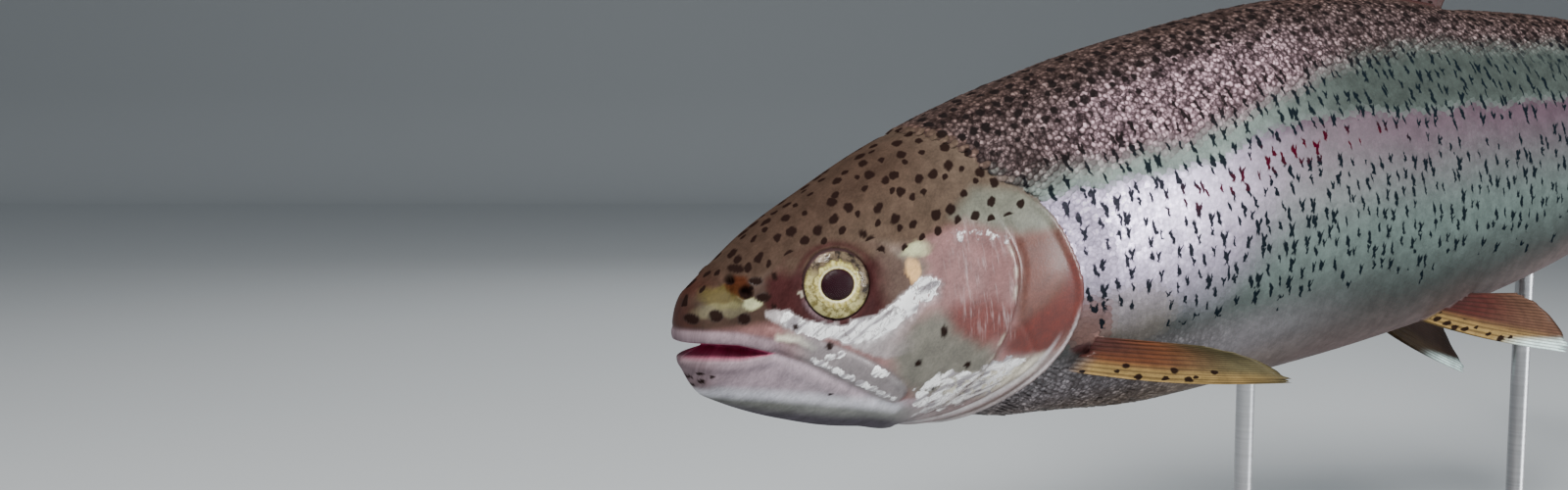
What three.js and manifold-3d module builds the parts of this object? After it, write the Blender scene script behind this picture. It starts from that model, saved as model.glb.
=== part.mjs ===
// A life-size rainbow trout, held over a flat base by two slim rods.
//
// The fish is first drawn straight: x runs from the snout back to the tail,
// y across (the left flank is at -y) and z up. That straight fish is parted
// into its nodes, and then every node is bent along the swimming curve and
// tipped nose-down. Lengths are in millimetres.

import * as THREE from "three";
import { mergeVertices } from "three/addons/utils/BufferGeometryUtils.js";
import Module from "manifold-3d";

const wasm = await Module();
wasm.setup();

// ---------------------------------------------------------------- dimensions

const STANDARD_LENGTH = 427; // snout to the root of the tail fin
const GAP = 0.3; // between nodes that meet
const FAR = 90; // beyond the fish, for the solids that cut it
const NOSE_ROUND = 4.5; // length over which the snout rounds off
const RUMP_ROUND = 6; // the same at the root of the tail fin

// Body stations: where along the fish, back and belly heights, half width,
// height of the widest point, and how boxy the section is above and below it.
const STATIONS = [
  { at: 0, back: 6.2, belly: -13, half: 6.6, mid: -2, over: 2.1, under: 2.1 }, // snout
  { at: 11, back: 13, belly: -20.1, half: 11.6, mid: -3, over: 2.3, under: 2 }, // nostril
  { at: 22, back: 19.6, belly: -25.6, half: 15, mid: -3.6, over: 2.4, under: 1.9 }, // lip corner
  { at: 36, back: 25.8, belly: -30.9, half: 18.4, mid: -4, over: 2.4, under: 1.9 }, // eye
  { at: 58, back: 34.6, belly: -35.8, half: 22.2, mid: -4, over: 2.2, under: 1.9 }, // cheek
  { at: 90, back: 43.2, belly: -41, half: 25.8, mid: -3, over: 2, under: 1.9 }, // gill opening
  { at: 128, back: 50, belly: -47.4, half: 27.6, mid: 0, over: 2, under: 2 }, // shoulder
  { at: 185, back: 55.2, belly: -49.8, half: 28.2, mid: 2, over: 2, under: 2.1 }, // dorsal fin
  { at: 225, back: 53.1, belly: -49.3, half: 26.6, mid: 2, over: 2, under: 2.1 }, // pelvic fins
  { at: 258, back: 46.2, belly: -46.6, half: 23.6, mid: 1, over: 2, under: 2.1 }, // flank
  { at: 300, back: 39, belly: -39.6, half: 18.4, mid: 0, over: 2, under: 2 }, // vent
  { at: 350, back: 26.4, belly: -25.2, half: 12.2, mid: 0, over: 2, under: 2 }, // adipose fin
  { at: 388, back: 20.4, belly: -20, half: 8.4, mid: 0, over: 2, under: 2 }, // tail stalk
  { at: 427, back: 22, belly: -21.6, half: 4.6, mid: 0, over: 2, under: 2 }, // tail root
];
const BODY_STEPS = 42; // along the body
const BODY_SIDES = 28; // around it

// Swimming curve and tilt
const BENDS = [
  { from: 147, to: 276, turn: -0.15 }, // the rear trunk swings to the left
  { from: 282, to: 470, turn: 0.26 }, // and the tail swings back to the right
];
const NOSE_DOWN = 0.1529; // radians

// Planes that part the body
const TRUNK_PARTING = 186;
const STALK_PARTING = 312;

const EYE = { at: 33, height: 5.6, out: 15.4, radius: 8.6, depth: 3.2, forward: 0.2, up: 0.1 };

const MOUTH_CORNER = [17.5, -6.8];
const JAW_HINGE = [46, -24.5];
const LIP_LINE = [[-4, -1.4], [3, -2.1], [10, -3.6], MOUTH_CORNER]; // under the upper lip
const JAW_LINE = [[-4, -5.6], [3, -6.2], [10, -7.2], MOUTH_CORNER]; // over the lower lip
const THROAT = [52, -50];

const GILL_COVER_EDGE = [
  [60, 13], [71, 20], [84, 16], [91, 4], [92.5, -9], [87, -20], [77, -29], [62, -34.5], [51, -30], [53, -10],
];
const GILL_COVER_THICK = 2.4;
const COVER_INNER = -6; // the covers stop this short of the middle plane
const HEAD_REAR = [[74, 70], [82, 34], [93, 17], [96.5, -6], [91, -22], [80, -33], [74, -60]];

// Fins: the two ends of the root, the tips of the first and last rays, how far
// the margin bows out, and how far the first and last rays bow apart.
const ROOT_THICK = 2.2;
const EDGE_THICK = 0.6;
const FIN_STEPS = 6; // along a ray
const FIN_RAYS = 8; // across the fin
const DORSAL = {
  root: [[196, 0, 50], [256, 0, 44]], tips: [[224, 0, 100], [271, 0, 68]], margin: 3, lead: 3,
};
const ADIPOSE = {
  root: [[351, 0, 22], [361, 0, 20]], tips: [[374, 0, 37.5], [373, 0, 31]], margin: 2, lead: 2.5,
};
const ANAL = {
  root: [[318, 0, -31], [362, 0, -20]], tips: [[349, 0, -76], [374, 0, -42]], margin: 2, lead: 2.5,
};
const TAIL = {
  root: [[419, 0, 18.5], [419, 0, -18.5]], tips: [[483, 0, 53], [483, 0, -53]], margin: -14, lead: 4, trail: 4,
};
const PECTORAL = {
  root: [[89, -20.5, -26.5], [97, -22.5, -19.5]], tips: [[145, -37, -40], [126, -34, -27]],
  margin: 5, lead: 1.5,
};
const PELVIC_LEFT = {
  root: [[226, -7.5, -43], [241, -11, -39]], tips: [[271, -25, -61], [264, -19, -42]],
  margin: 5, lead: 1.5,
};
const PELVIC_RIGHT = {
  root: [[225, 6, -44], [240, 10, -40]], tips: [[271, 11, -75], [267, 15, -56]],
  margin: 4, lead: 1.5,
};

// Stand
const BASE = { at: 215, long: 215, wide: 100, thick: 12, top: -98, corner: 12, chamfer: 1.5 };
const RODS = { front: 178, rear: 292, radius: 2.5, flange: 8, flangeThick: 2.5 };
const ROD_SIDES = 18;

// -------------------------------------------------------------- body surface

// A smooth curve through one column of the station table; t counts stations.
function column(name, t) {
  const last = STATIONS.length - 1;
  const i = Math.min(Math.floor(t), last - 1);
  const f = t - i;
  const value = (k) => STATIONS[THREE.MathUtils.clamp(k, 0, last)][name];
  const [a, b, c, d] = [value(i - 1), value(i), value(i + 1), value(i + 2)];
  const slope0 = i === 0 ? c - b : (c - a) / 2;
  const slope1 = i === last - 1 ? c - b : (d - b) / 2;
  const f2 = f * f;
  const f3 = f2 * f;
  return (2 * f3 - 3 * f2 + 1) * b + (f3 - 2 * f2 + f) * slope0
    + (3 * f2 - 2 * f3) * c + (f3 - f2) * slope1;
}

// 0 at the very tip of a rounded end, 1 once the rounding is over.
function rounding(distance, length) {
  const s = THREE.MathUtils.clamp(1 - distance / length, 0, 1);
  return Math.sqrt(1 - s * s);
}

// A point on the straight body: t along in stations, angle around (0 is the
// left flank, a quarter turn is the back), grown outwards by `grow`.
function bodyPoint(t, angle, grow = 0) {
  const x = column("at", t);
  const close = rounding(x, NOSE_ROUND) * rounding(STANDARD_LENGTH - x, RUMP_ROUND);
  const mid = column("mid", t);
  const cos = Math.cos(angle);
  const sin = Math.sin(angle);
  const rise = sin > 0 ? column("back", t) - mid : mid - column("belly", t);
  const power = 2 / column(sin > 0 ? "over" : "under", t);
  const reach = (size, part) =>
    Math.sign(part) * Math.max(0, size * close * Math.abs(part) ** power + grow * Math.abs(part));
  return new THREE.Vector3(x, -reach(column("half", t), cos), mid + reach(rise, sin));
}

// The body's stations, closer together at both rounded ends.
function stationAt(share) {
  const eased = share - 0.09 * Math.sin(2 * Math.PI * share);
  return eased * (STATIONS.length - 1);
}

// ------------------------------------------------------------- solid helpers

// A closed solid from a geometry, turned face out if it was inside out.
function solid(geometry) {
  const bare = new THREE.BufferGeometry();
  bare.setAttribute("position", geometry.getAttribute("position"));
  bare.setIndex(geometry.getIndex());
  const merged = mergeVertices(bare, 1e-4);
  const vertProperties = new Float32Array(merged.getAttribute("position").array);
  const index = merged.getIndex().array;
  const triVerts = [];
  for (let i = 0; i < index.length; i += 3) {
    const [a, b, c] = [index[i], index[i + 1], index[i + 2]];
    if (a !== b && b !== c && c !== a) triVerts.push(a, b, c);
  }
  const make = (tris) =>
    new wasm.Manifold(new wasm.Mesh({ numProp: 3, vertProperties, triVerts: new Uint32Array(tris) }));
  const made = make(triVerts);
  return made.volume() < 0 ? make(triVerts.reverse()) : made;
}

// The geometry of a solid.
function geometryOf(manifold) {
  const mesh = manifold.getMesh();
  const geometry = new THREE.BufferGeometry();
  geometry.setAttribute("position", new THREE.BufferAttribute(mesh.vertProperties, 3));
  geometry.setIndex(new THREE.BufferAttribute(mesh.triVerts, 1));
  return geometry;
}

// Moves every vertex of a geometry by `place`, which returns its new place.
function moved(geometry, place) {
  const position = geometry.getAttribute("position");
  const p = new THREE.Vector3();
  for (let i = 0; i < position.count; i += 1) {
    const q = place(p.fromBufferAttribute(position, i));
    position.setXYZ(i, q.x, q.y, q.z);
  }
  return geometry;
}

function bodySolid(grow) {
  const grid = new THREE.PlaneGeometry(1, 1, BODY_STEPS, BODY_SIDES);
  return solid(moved(grid, (p) => {
    const along = p.x + 0.5;
    const around = p.y < 0.499 ? p.y + 0.5 : 0;
    const t = stationAt(along);
    const end = along < 0.001 ? -1 : Number(along > 0.999);
    if (end) return new THREE.Vector3(column("at", t) + end * grow, 0, column("mid", t));
    return bodyPoint(t, -2 * Math.PI * around, grow);
  }));
}

// The prism of a side outline of [x, z] points, between y = near and y = far.
function sidePrism(points, near = -FAR, far = FAR) {
  const outline = new THREE.Shape(points.map(([x, z]) => new THREE.Vector2(x, z)));
  const prism = new THREE.ExtrudeGeometry(outline, { depth: far - near, bevelEnabled: false });
  prism.rotateX(Math.PI / 2); // the outline into the xz plane, its depth towards -y
  prism.translate(0, far, 0);
  return solid(prism);
}

// A closed smooth outline through the points, grown about its middle.
function smoothOutline(points, grow = 0) {
  const flat = points.map(([x, z]) => new THREE.Vector3(x, 0, z));
  const middle = flat.reduce((sum, p) => sum.add(p), new THREE.Vector3()).divideScalar(flat.length);
  const curve = new THREE.CatmullRomCurve3(flat, true);
  return curve.getPoints(flat.length * 3).slice(1).map((p) => {
    const radius = p.distanceTo(middle);
    const q = p.sub(middle).multiplyScalar((radius + grow) / radius).add(middle);
    return [q.x, q.z];
  });
}

// Everything between two planes across the fish.
function slab(from, to) {
  const box = new THREE.BoxGeometry(to - from, 2 * FAR, 4 * FAR);
  box.translate((from + to) / 2, 0, 0);
  return solid(box);
}

// The largest body of a solid, so that no sliver is left beside it.
function mainBody(manifold) {
  return manifold.decompose().reduce((a, b) => (b.volume() > a.volume() ? b : a));
}

// ---------------------------------------------------------------- the pose

// The middle line of the bent fish, a point and a heading every millimetre.
const SPINE_START = -20;
const SPINE = [];
{
  const point = new THREE.Vector2(SPINE_START, 0);
  for (let x = SPINE_START; x < 540; x += 1) {
    const heading = BENDS.reduce(
      (sum, { from, to, turn }) => sum + turn * THREE.MathUtils.smoothstep(x + 0.5, from, to),
      0,
    );
    SPINE.push({ x: point.x, y: point.y, heading });
    point.x += Math.cos(heading);
    point.y += Math.sin(heading);
  }
}

// Where a point of the straight fish lies once it is bent and tipped.
function posed(p) {
  const t = p.x - SPINE_START;
  const i = Math.floor(t);
  const [a, b] = [SPINE[i], SPINE[i + 1]];
  const mix = (name) => THREE.MathUtils.lerp(a[name], b[name], t - i);
  const heading = mix("heading");
  return new THREE.Vector3(
    mix("x") - Math.sin(heading) * p.y,
    mix("y") + Math.cos(heading) * p.y,
    p.z,
  ).applyAxisAngle(new THREE.Vector3(0, 1, 0), -NOSE_DOWN);
}

const posedSolid = (manifold) => solid(moved(geometryOf(manifold), posed));

// ---------------------------------------------------------------------- fins

const mirrored = (points) => points.map(([x, y, z]) => [x, -y, z]);

// A thin fan of rays from its root to a bowed margin.
function finSolid({ root, tips, margin, lead, trail = 0 }) {
  const [rootA, rootB] = root.map((p) => new THREE.Vector3(...p));
  const [tipA, tipB] = tips.map((p) => new THREE.Vector3(...p));
  const outward = tipA.clone().add(tipB).sub(rootA).sub(rootB).normalize();
  const across = rootB.clone().sub(rootA);
  const normal = outward.clone().cross(across).normalize();
  const ahead = outward.clone().cross(normal).normalize();
  if (ahead.dot(across) > 0) ahead.negate();
  const block = new THREE.BoxGeometry(1, 1, 1, FIN_STEPS, FIN_RAYS, 1);
  return solid(moved(block, (cell) => {
    const out = cell.x + 0.5;
    const ray = cell.y + 0.5;
    const tip = tipA.clone().lerp(tipB, ray);
    tip.addScaledVector(outward, margin * Math.sin(Math.PI * ray));
    const p = rootA.clone().lerp(rootB, ray).lerp(tip, out);
    const bow = lead * (1 - ray) ** 2 - trail * ray ** 2;
    p.addScaledVector(ahead, bow * Math.sin(Math.PI * out));
    const thick = THREE.MathUtils.lerp(ROOT_THICK, EDGE_THICK, out);
    return p.addScaledVector(normal, Math.sign(cell.z) * thick / 2);
  }));
}

// -------------------------------------------------------------- eyes, covers

const sides = [["left", 1], ["right", -1]];

function eyeSolid(side, grow = 0) {
  const ball = new THREE.SphereGeometry(1, 18, 12);
  ball.rotateX(Math.PI / 2); // a pole looks out of the head
  ball.scale(EYE.radius + grow, EYE.depth + grow, EYE.radius + grow);
  ball.rotateX(-EYE.up);
  ball.rotateZ(-EYE.forward);
  ball.translate(EYE.at, -EYE.out, EYE.height);
  if (side < 0) ball.scale(1, -1, 1);
  return solid(ball);
}

function coverPrism(side, grow) {
  const outline = smoothOutline(GILL_COVER_EDGE, grow);
  return side > 0 ? sidePrism(outline, -FAR, COVER_INNER) : sidePrism(outline, -COVER_INNER, FAR);
}

// --------------------------------------------------------------------- stand

function baseSolid() {
  const { long, wide, thick, corner, chamfer } = BASE;
  const [halfLong, halfWide] = [long / 2 - chamfer, wide / 2 - chamfer];
  const outline = new THREE.Shape();
  outline.absarc(halfLong - corner, halfWide - corner, corner, 0, Math.PI / 2);
  outline.absarc(corner - halfLong, halfWide - corner, corner, Math.PI / 2, Math.PI);
  outline.absarc(corner - halfLong, corner - halfWide, corner, Math.PI, 1.5 * Math.PI);
  outline.absarc(halfLong - corner, corner - halfWide, corner, 1.5 * Math.PI, 2 * Math.PI);
  const board = new THREE.ExtrudeGeometry(outline, {
    depth: thick - 2 * chamfer,
    bevelThickness: chamfer,
    bevelSize: chamfer,
    bevelSegments: 1,
    curveSegments: 6,
  });
  board.translate(0, 0, BASE.top - thick + chamfer);
  return board;
}

function rodSolid() {
  const { radius, flange, flangeThick } = RODS;
  const profile = [
    [0, 0], [flange, 0], [flange, flangeThick - 0.8], [flange - 0.8, flangeThick],
    [radius + 1.2, flangeThick], [radius, flangeThick + 1.2], [radius, 120], [0, 120],
  ].map(([r, z]) => new THREE.Vector2(r, z));
  const rod = new THREE.LatheGeometry(profile, ROD_SIDES);
  rod.rotateX(Math.PI / 2); // its axis upright
  rod.translate(0, 0, BASE.top + GAP);
  return rod;
}

// ------------------------------------------------------------------ assembly

const trout = new THREE.Group();
trout.name = "rainbow_trout";

function addNode(name, manifold, colour, roughness, metalness = 0) {
  const geometry = geometryOf(mainBody(manifold));
  geometry.computeBoundingBox();
  const centre = geometry.boundingBox.getCenter(new THREE.Vector3());
  geometry.translate(-centre.x, -centre.y, -centre.z);
  geometry.computeVertexNormals();
  const material = new THREE.MeshStandardMaterial({ color: colour, roughness, metalness });
  const mesh = new THREE.Mesh(geometry, material);
  mesh.name = name;
  mesh.position.copy(centre);
  trout.add(mesh);
}

const whole = bodySolid(0);
const clear = bodySolid(GAP);

// Head, lower jaw and gill covers
const headRegion = sidePrism([[-FAR, FAR], ...HEAD_REAR, [-FAR, -FAR]]);
const mouth = sidePrism([...LIP_LINE, ...JAW_LINE.slice(0, -1).reverse()]);
const jawSlot = sidePrism([
  MOUTH_CORNER, JAW_HINGE, THROAT,
  [THROAT[0] + GAP, THROAT[1]], [JAW_HINGE[0] + GAP, JAW_HINGE[1] + GAP],
  [MOUTH_CORNER[0] + 2 * GAP, MOUTH_CORNER[1] + GAP], [MOUTH_CORNER[0] - 1, MOUTH_CORNER[1] + GAP],
]);
const jawRegion = sidePrism([...JAW_LINE, JAW_HINGE, THROAT, [-FAR, THROAT[1]]]);
const front = whole.intersect(headRegion).subtract(mouth).subtract(jawSlot);
let head = front.subtract(jawRegion);
const inside = bodySolid(-GILL_COVER_THICK);
const deeper = bodySolid(-GILL_COVER_THICK - GAP);
for (const [name, side] of sides) {
  const cover = front.subtract(jawRegion).intersect(coverPrism(side, 0)).subtract(inside);
  addNode(`gill_cover_${name}`, posedSolid(mainBody(cover)), "#b7a6a4", 0.35, 0.2);
  head = head.subtract(coverPrism(side, GAP).subtract(deeper)).subtract(eyeSolid(side, GAP));
  addNode(`eye_${name}`, posedSolid(eyeSolid(side)), "#c9b45a", 0.1);
}
addNode("head", posedSolid(mainBody(head)), "#8a8069", 0.4);
addNode("lower_jaw", posedSolid(mainBody(front.intersect(jawRegion))), "#c2bfc6", 0.4);

// Trunk and tail stalk
const rearClear = HEAD_REAR.map(([x, z]) => [x + GAP, z]);
const behindHead = whole.subtract(sidePrism([[-FAR, FAR], ...rearClear, [-FAR, -FAR]]));
const lengths = {
  trunk_front: [0, TRUNK_PARTING],
  trunk_rear: [TRUNK_PARTING + GAP, STALK_PARTING],
  tail_stalk: [STALK_PARTING + GAP, 500],
};
for (const [name, [from, to]] of Object.entries(lengths)) {
  addNode(name, posedSolid(mainBody(behindHead.intersect(slab(from, to)))), "#8f9690", 0.35, 0.2);
}

// Fins
const fins = {
  dorsal_fin: DORSAL,
  adipose_fin: ADIPOSE,
  anal_fin: ANAL,
  tail_fin: TAIL,
  pectoral_fin_left: PECTORAL,
  pectoral_fin_right: { ...PECTORAL, root: mirrored(PECTORAL.root), tips: mirrored(PECTORAL.tips) },
  pelvic_fin_left: PELVIC_LEFT,
  pelvic_fin_right: PELVIC_RIGHT,
};
for (const [name, spec] of Object.entries(fins)) {
  addNode(name, posedSolid(mainBody(finSolid(spec).subtract(clear))), "#a5673f", 0.5);
}

// Stand, upright under the tipped fish
const posedClear = posedSolid(clear);
const baseCentre = posed(new THREE.Vector3(BASE.at, 0, 0));
addNode("stand_base", solid(baseSolid().translate(baseCentre.x, baseCentre.y, 0)), "#3a2a1e", 0.45);
for (const place of ["front", "rear"]) {
  const foot = posed(new THREE.Vector3(RODS[place], 0, 0));
  const rod = solid(rodSolid().translate(foot.x, foot.y, 0)).subtract(posedClear);
  addNode(`stand_rod_${place}`, rod, "#b9bbbd", 0.25, 1);
}

// The origin is under the middle of the whole thing.
const box = new THREE.Box3().setFromObject(trout, true);
const middle = box.getCenter(new THREE.Vector3());
trout.position.set(-middle.x, -middle.y, -box.min.z);

const model = new THREE.Group();
model.add(trout);

export default model;
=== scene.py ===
"""A life-size rainbow trout held on a display stand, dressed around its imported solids.

The fish is first shaped straight, in millimetres, with x running from the snout to the
tail, y across it with its left flank at -y, and z up from its middle line. Its relief
and its colours are worked out there, and the finished meshes are then bent into its
swimming curve and set in the frame, in metres.
"""

import logging
import math
from collections.abc import Iterable, Sequence
from dataclasses import dataclass, field
from enum import Enum, IntEnum

import bmesh
import bpy
import numpy as np
from bmesh.types import BMesh, BMVert
from bpy.types import Material, Mesh, Node, NodeOutputs, NodeSocket, NodeTree, Object
from mathutils import Matrix, Vector


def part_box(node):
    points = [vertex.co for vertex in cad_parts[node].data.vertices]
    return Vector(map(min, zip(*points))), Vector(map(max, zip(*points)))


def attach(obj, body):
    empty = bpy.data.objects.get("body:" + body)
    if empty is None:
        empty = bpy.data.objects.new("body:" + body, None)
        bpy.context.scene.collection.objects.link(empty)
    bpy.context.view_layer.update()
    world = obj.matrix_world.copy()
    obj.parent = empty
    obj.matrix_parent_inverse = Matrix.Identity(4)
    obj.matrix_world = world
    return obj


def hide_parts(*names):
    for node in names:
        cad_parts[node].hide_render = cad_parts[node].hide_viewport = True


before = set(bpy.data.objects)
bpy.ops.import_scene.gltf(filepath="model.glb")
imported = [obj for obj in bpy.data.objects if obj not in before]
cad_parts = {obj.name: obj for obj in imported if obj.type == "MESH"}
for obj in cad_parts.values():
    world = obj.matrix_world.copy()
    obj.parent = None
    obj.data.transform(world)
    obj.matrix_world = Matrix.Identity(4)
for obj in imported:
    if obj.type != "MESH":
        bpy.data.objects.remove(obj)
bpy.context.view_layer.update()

MM = 0.001
log = logging.getLogger("trout")

Colour = tuple[float, float, float]
Outline = Sequence[tuple[float, float]]
Point = tuple[float, float, float]
Pair = tuple[Colour, Colour]
Row = np.ndarray  # one number for each point
Rows = np.ndarray  # a few numbers for each point, one point a row


def linear(red: float, green: float, blue: float) -> Colour:
    """Screen values from 0 to 255 as a linear colour."""

    def one(value: float) -> float:
        """One of the three values."""
        c = value / 255
        return c / 12.92 if c <= 0.04045 else ((c + 0.055) / 1.055) ** 2.4

    return one(red), one(green), one(blue)


def line_distance(x: Row, z: Row, line: Outline) -> tuple[Row, Row]:
    """How far points are from a line of straight stretches.

    Args:
        x: The points' first coordinates.
        z: The points' second coordinates.
        line: The line's points.

    Returns:
        The distances, and how far along the line the nearest place is, from 0 to 1.
    """
    best = np.full(x.shape, 1e9)
    along = np.zeros(x.shape)
    legs = len(line) - 1
    for i in range(legs):
        (ax, az), (bx, bz) = line[i], line[i + 1]
        dx, dz = bx - ax, bz - az
        t = np.clip(((x - ax) * dx + (z - az) * dz) / (dx * dx + dz * dz), 0, 1)
        reach = np.hypot(x - ax - t * dx, z - az - t * dz)
        nearer = reach < best
        best = np.where(nearer, reach, best)
        along = np.where(nearer, (i + t) / legs, along)
    return best, along


def inside(x: Row, z: Row, outline: Outline, soft: float = 1.0) -> Row:
    """A mask that is 1 inside a closed outline and 0 outside, with a soft edge.

    Args:
        x: The points' first coordinates.
        z: The points' second coordinates.
        outline: The outline's corners.
        soft: The width of the edge.

    Returns:
        The mask at each point.
    """
    within = np.zeros(x.shape, bool)
    for (ax, az), (bx, bz) in zip(outline, [*outline[1:], outline[0]]):
        if az == bz:
            continue
        crosses = (az > z) != (bz > z)
        within ^= crosses & (x < (bx - ax) * (z - az) / (bz - az) + ax)
    reach, _ = line_distance(x, z, [*outline, outline[0]])
    return smooth(np.where(within, reach, -reach), -soft / 2, soft / 2)


def rounded(line: Outline, closed: bool = False, steps: int = 5) -> list[tuple[float, float]]:
    """Rounds the corners of a line by drawing a smooth curve through its points.

    Args:
        line: The line's points.
        closed: Whether it ends where it starts.
        steps: How many stretches replace each one.

    Returns:
        The points of the rounded line.
    """
    points = [np.array(p, float) for p in line]
    count = len(points)
    drawn = []
    for i in range(count if closed else count - 1):
        if closed:
            a, b, c, d = (points[(i + k) % count] for k in (-1, 0, 1, 2))
        else:
            a, b, c, d = points[max(i - 1, 0)], points[i], points[i + 1], points[min(i + 2, count - 1)]
        for k in range(steps):
            t = k / steps
            curve = 2 * b + (c - a) * t + (2 * a - 5 * b + 4 * c - d) * t**2 + (3 * b - a - 3 * c + d) * t**3
            drawn.append(tuple(curve / 2))
    return drawn if closed else [*drawn, tuple(points[-1])]


def wobble(x: Row, z: Row, size: float, reach: float) -> tuple[Row, Row]:
    """Shifts points in soft, uneven waves, so that an outline drawn over them looks grown.

    Args:
        x: The points' first coordinates.
        z: The points' second coordinates.
        size: How far they shift.
        reach: The length of the waves.

    Returns:
        The shifted coordinates.
    """
    u, v = x / reach, z / reach
    shift_x = np.sin(2.1 * v + 1.7 * np.sin(1.3 * u)) + 0.6 * np.sin(4.7 * v + 3.1 * u)
    shift_z = np.sin(1.9 * u + 1.5 * np.sin(1.7 * v + 2)) + 0.6 * np.sin(4.1 * u - 3.7 * v + 1)
    return x + size * shift_x * 0.6, z + size * shift_z * 0.6


def blob(x: Row, z: Row, at: tuple[float, float], size: tuple[float, float]) -> Row:
    """A round mask, 1 in the middle and 0 beyond its half sizes."""
    return smooth(np.hypot((x - at[0]) / size[0], (z - at[1]) / size[1]), 1.15, 0.7)


def bump(distance: Row, width: float) -> Row:
    """A rounded ridge, 1 at distance 0 and gone by the width."""
    return smooth(np.abs(distance), width, 0)


def stroke(x: Row, z: Row, line: Outline, width: float) -> Row:
    """A soft stroke drawn along a line, 1 on it and gone by the width."""
    return bump(line_distance(x, z, line)[0], width)


def follow(x: Row, line: Outline) -> Row:
    """The second coordinate of a line of places, read at x."""
    return np.interp(x, *zip(*line))


def unit(ways: Rows) -> Rows:
    """Directions made one long."""
    return ways / np.linalg.norm(ways, axis=1, keepdims=True)


def put(mesh: Mesh, name: str, kind: str, values: np.ndarray) -> None:
    """Stores one value for each vertex under a name."""
    made = mesh.attributes.new(name, kind, "POINT")
    field_name = {"FLOAT": "value", "FLOAT_VECTOR": "vector", "FLOAT_COLOR": "color"}[kind]
    made.data.foreach_set(field_name, np.ascontiguousarray(values, np.float32).ravel())


def taken(mesh: Mesh, name: str) -> Rows:
    """Reads the vectors that the mesh's vertices store under a name, one a row."""
    values = np.zeros(len(mesh.vertices) * 3, np.float32)
    mesh.attributes[name].data.foreach_get("vector", values)
    return values.reshape(-1, 3).astype(float)


def listed(items: bpy.types.bpy_prop_collection, name: str) -> np.ndarray:
    """Reads one whole number from each of a mesh's faces, corners or edges."""
    values = np.zeros(len(items), np.int32)
    items.foreach_get(name, values)
    return values


def move_to(mesh: Mesh, points: Rows) -> None:
    """Sets the mesh's vertices."""
    mesh.vertices.foreach_set("co", np.ascontiguousarray(points, np.float32).ravel())
    mesh.update()


def linked(name: str, data: bpy.types.ID) -> Object:
    """Puts an object with the given mesh, camera or light into the scene."""
    made = bpy.data.objects.new(name, data)
    bpy.context.scene.collection.objects.link(made)
    return made


def shade(mesh: Mesh, rounded_off: bool) -> None:
    """Shades every face of a mesh smooth or flat."""
    mesh.polygons.foreach_set("use_smooth", np.full(len(mesh.polygons), rounded_off))


def as_object(name: str, bm: BMesh) -> Object:
    """Makes an object of a finished bmesh, smooth shaded, and frees the bmesh."""
    mesh = bpy.data.meshes.new(name)
    bm.to_mesh(mesh)
    bm.free()
    shade(mesh, True)
    return linked(name, mesh)


def spun(profile: Outline, sides: int, join: float) -> BMesh:
    """Spins a profile round the upright axis into a closed shape.

    Args:
        profile: Distances from the axis and heights along it, from pole to pole.
        sides: How many sides the shape has.
        join: How near vertices are joined.

    Returns:
        The shape, facing outwards.
    """
    bm = bmesh.new()
    points = [bm.verts.new((r, 0, h)) for r, h in profile]
    edges = [bm.edges.new(pair) for pair in zip(points, points[1:])]
    bmesh.ops.spin(
        bm, geom=[*points, *edges], cent=(0, 0, 0), axis=(0, 0, 1), dvec=(0, 0, 0), angle=2 * math.pi,
        steps=sides, use_merge=True,
    )
    bmesh.ops.remove_doubles(bm, verts=bm.verts, dist=join)
    bmesh.ops.recalc_face_normals(bm, faces=bm.faces)
    return bm


def settle(made: Object, finish: "Finish", nodes: Iterable[str]) -> None:
    """Gives a piece its finish, rides it on the model's one body and hides the solids it stands for.

    Args:
        made: The piece.
        finish: Its finish.
        nodes: The solids that it takes the place of.
    """
    made.data.materials.append(finish.material())
    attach(made, "root")
    if nodes:
        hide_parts(*nodes)
    made.data.calc_loop_triangles()
    log.info("%s: %d triangles", made.name, len(made.data.loop_triangles))


@dataclass(frozen=True)
class Station:
    """One cross-section of the straight fish, in millimetres.

    Args:
        at: Distance from the snout.
        back: Height of the back's ridge over the body axis.
        belly: Height of the belly line, below the axis.
        half: Half width.
        mid: Height of the widest point.
        over: How boxy the section is above its widest point.
        under: How boxy it is below.
    """

    at: float
    back: float
    belly: float
    half: float
    mid: float
    over: float
    under: float


STATIONS = (
    Station(0, 6.2, -13, 6.6, -2, 2.1, 2.1),  # snout
    Station(11, 13, -20.1, 11.6, -3, 2.3, 2),  # nostril
    Station(22, 19.6, -25.6, 15, -3.6, 2.4, 1.9),  # lip corner
    Station(36, 25.8, -30.9, 18.4, -4, 2.4, 1.9),  # eye
    Station(58, 34.6, -35.8, 22.2, -4, 2.2, 1.9),  # cheek
    Station(90, 43.2, -41, 25.8, -3, 2, 1.9),  # gill opening
    Station(128, 50, -47.4, 27.6, 0, 2, 2),  # shoulder
    Station(185, 55.2, -49.8, 28.2, 2, 2, 2.1),  # dorsal fin
    Station(225, 53.1, -49.3, 26.6, 2, 2, 2.1),  # pelvic fins
    Station(258, 46.2, -46.6, 23.6, 1, 2, 2.1),  # flank
    Station(300, 39, -39.6, 18.4, 0, 2, 2),  # vent
    Station(350, 26.4, -25.2, 12.2, 0, 2, 2),  # adipose fin
    Station(388, 20.4, -20, 8.4, 0, 2, 2),  # tail stalk
    Station(427, 22, -21.6, 4.6, 0, 2, 2),  # tail root
)


@dataclass(frozen=True)
class Bend:
    """A turn of the body's middle line, in radians, between two distances in millimetres."""

    start: float
    end: float
    turn: float


def smooth(value: Row, low: float | Row, high: float | Row) -> Row:
    """A smooth step from 0 at low to 1 at high, which may be the smaller one."""
    t = np.clip((value - low) / (high - low), 0.0, 1.0)
    return t * t * (3 - 2 * t)


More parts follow.
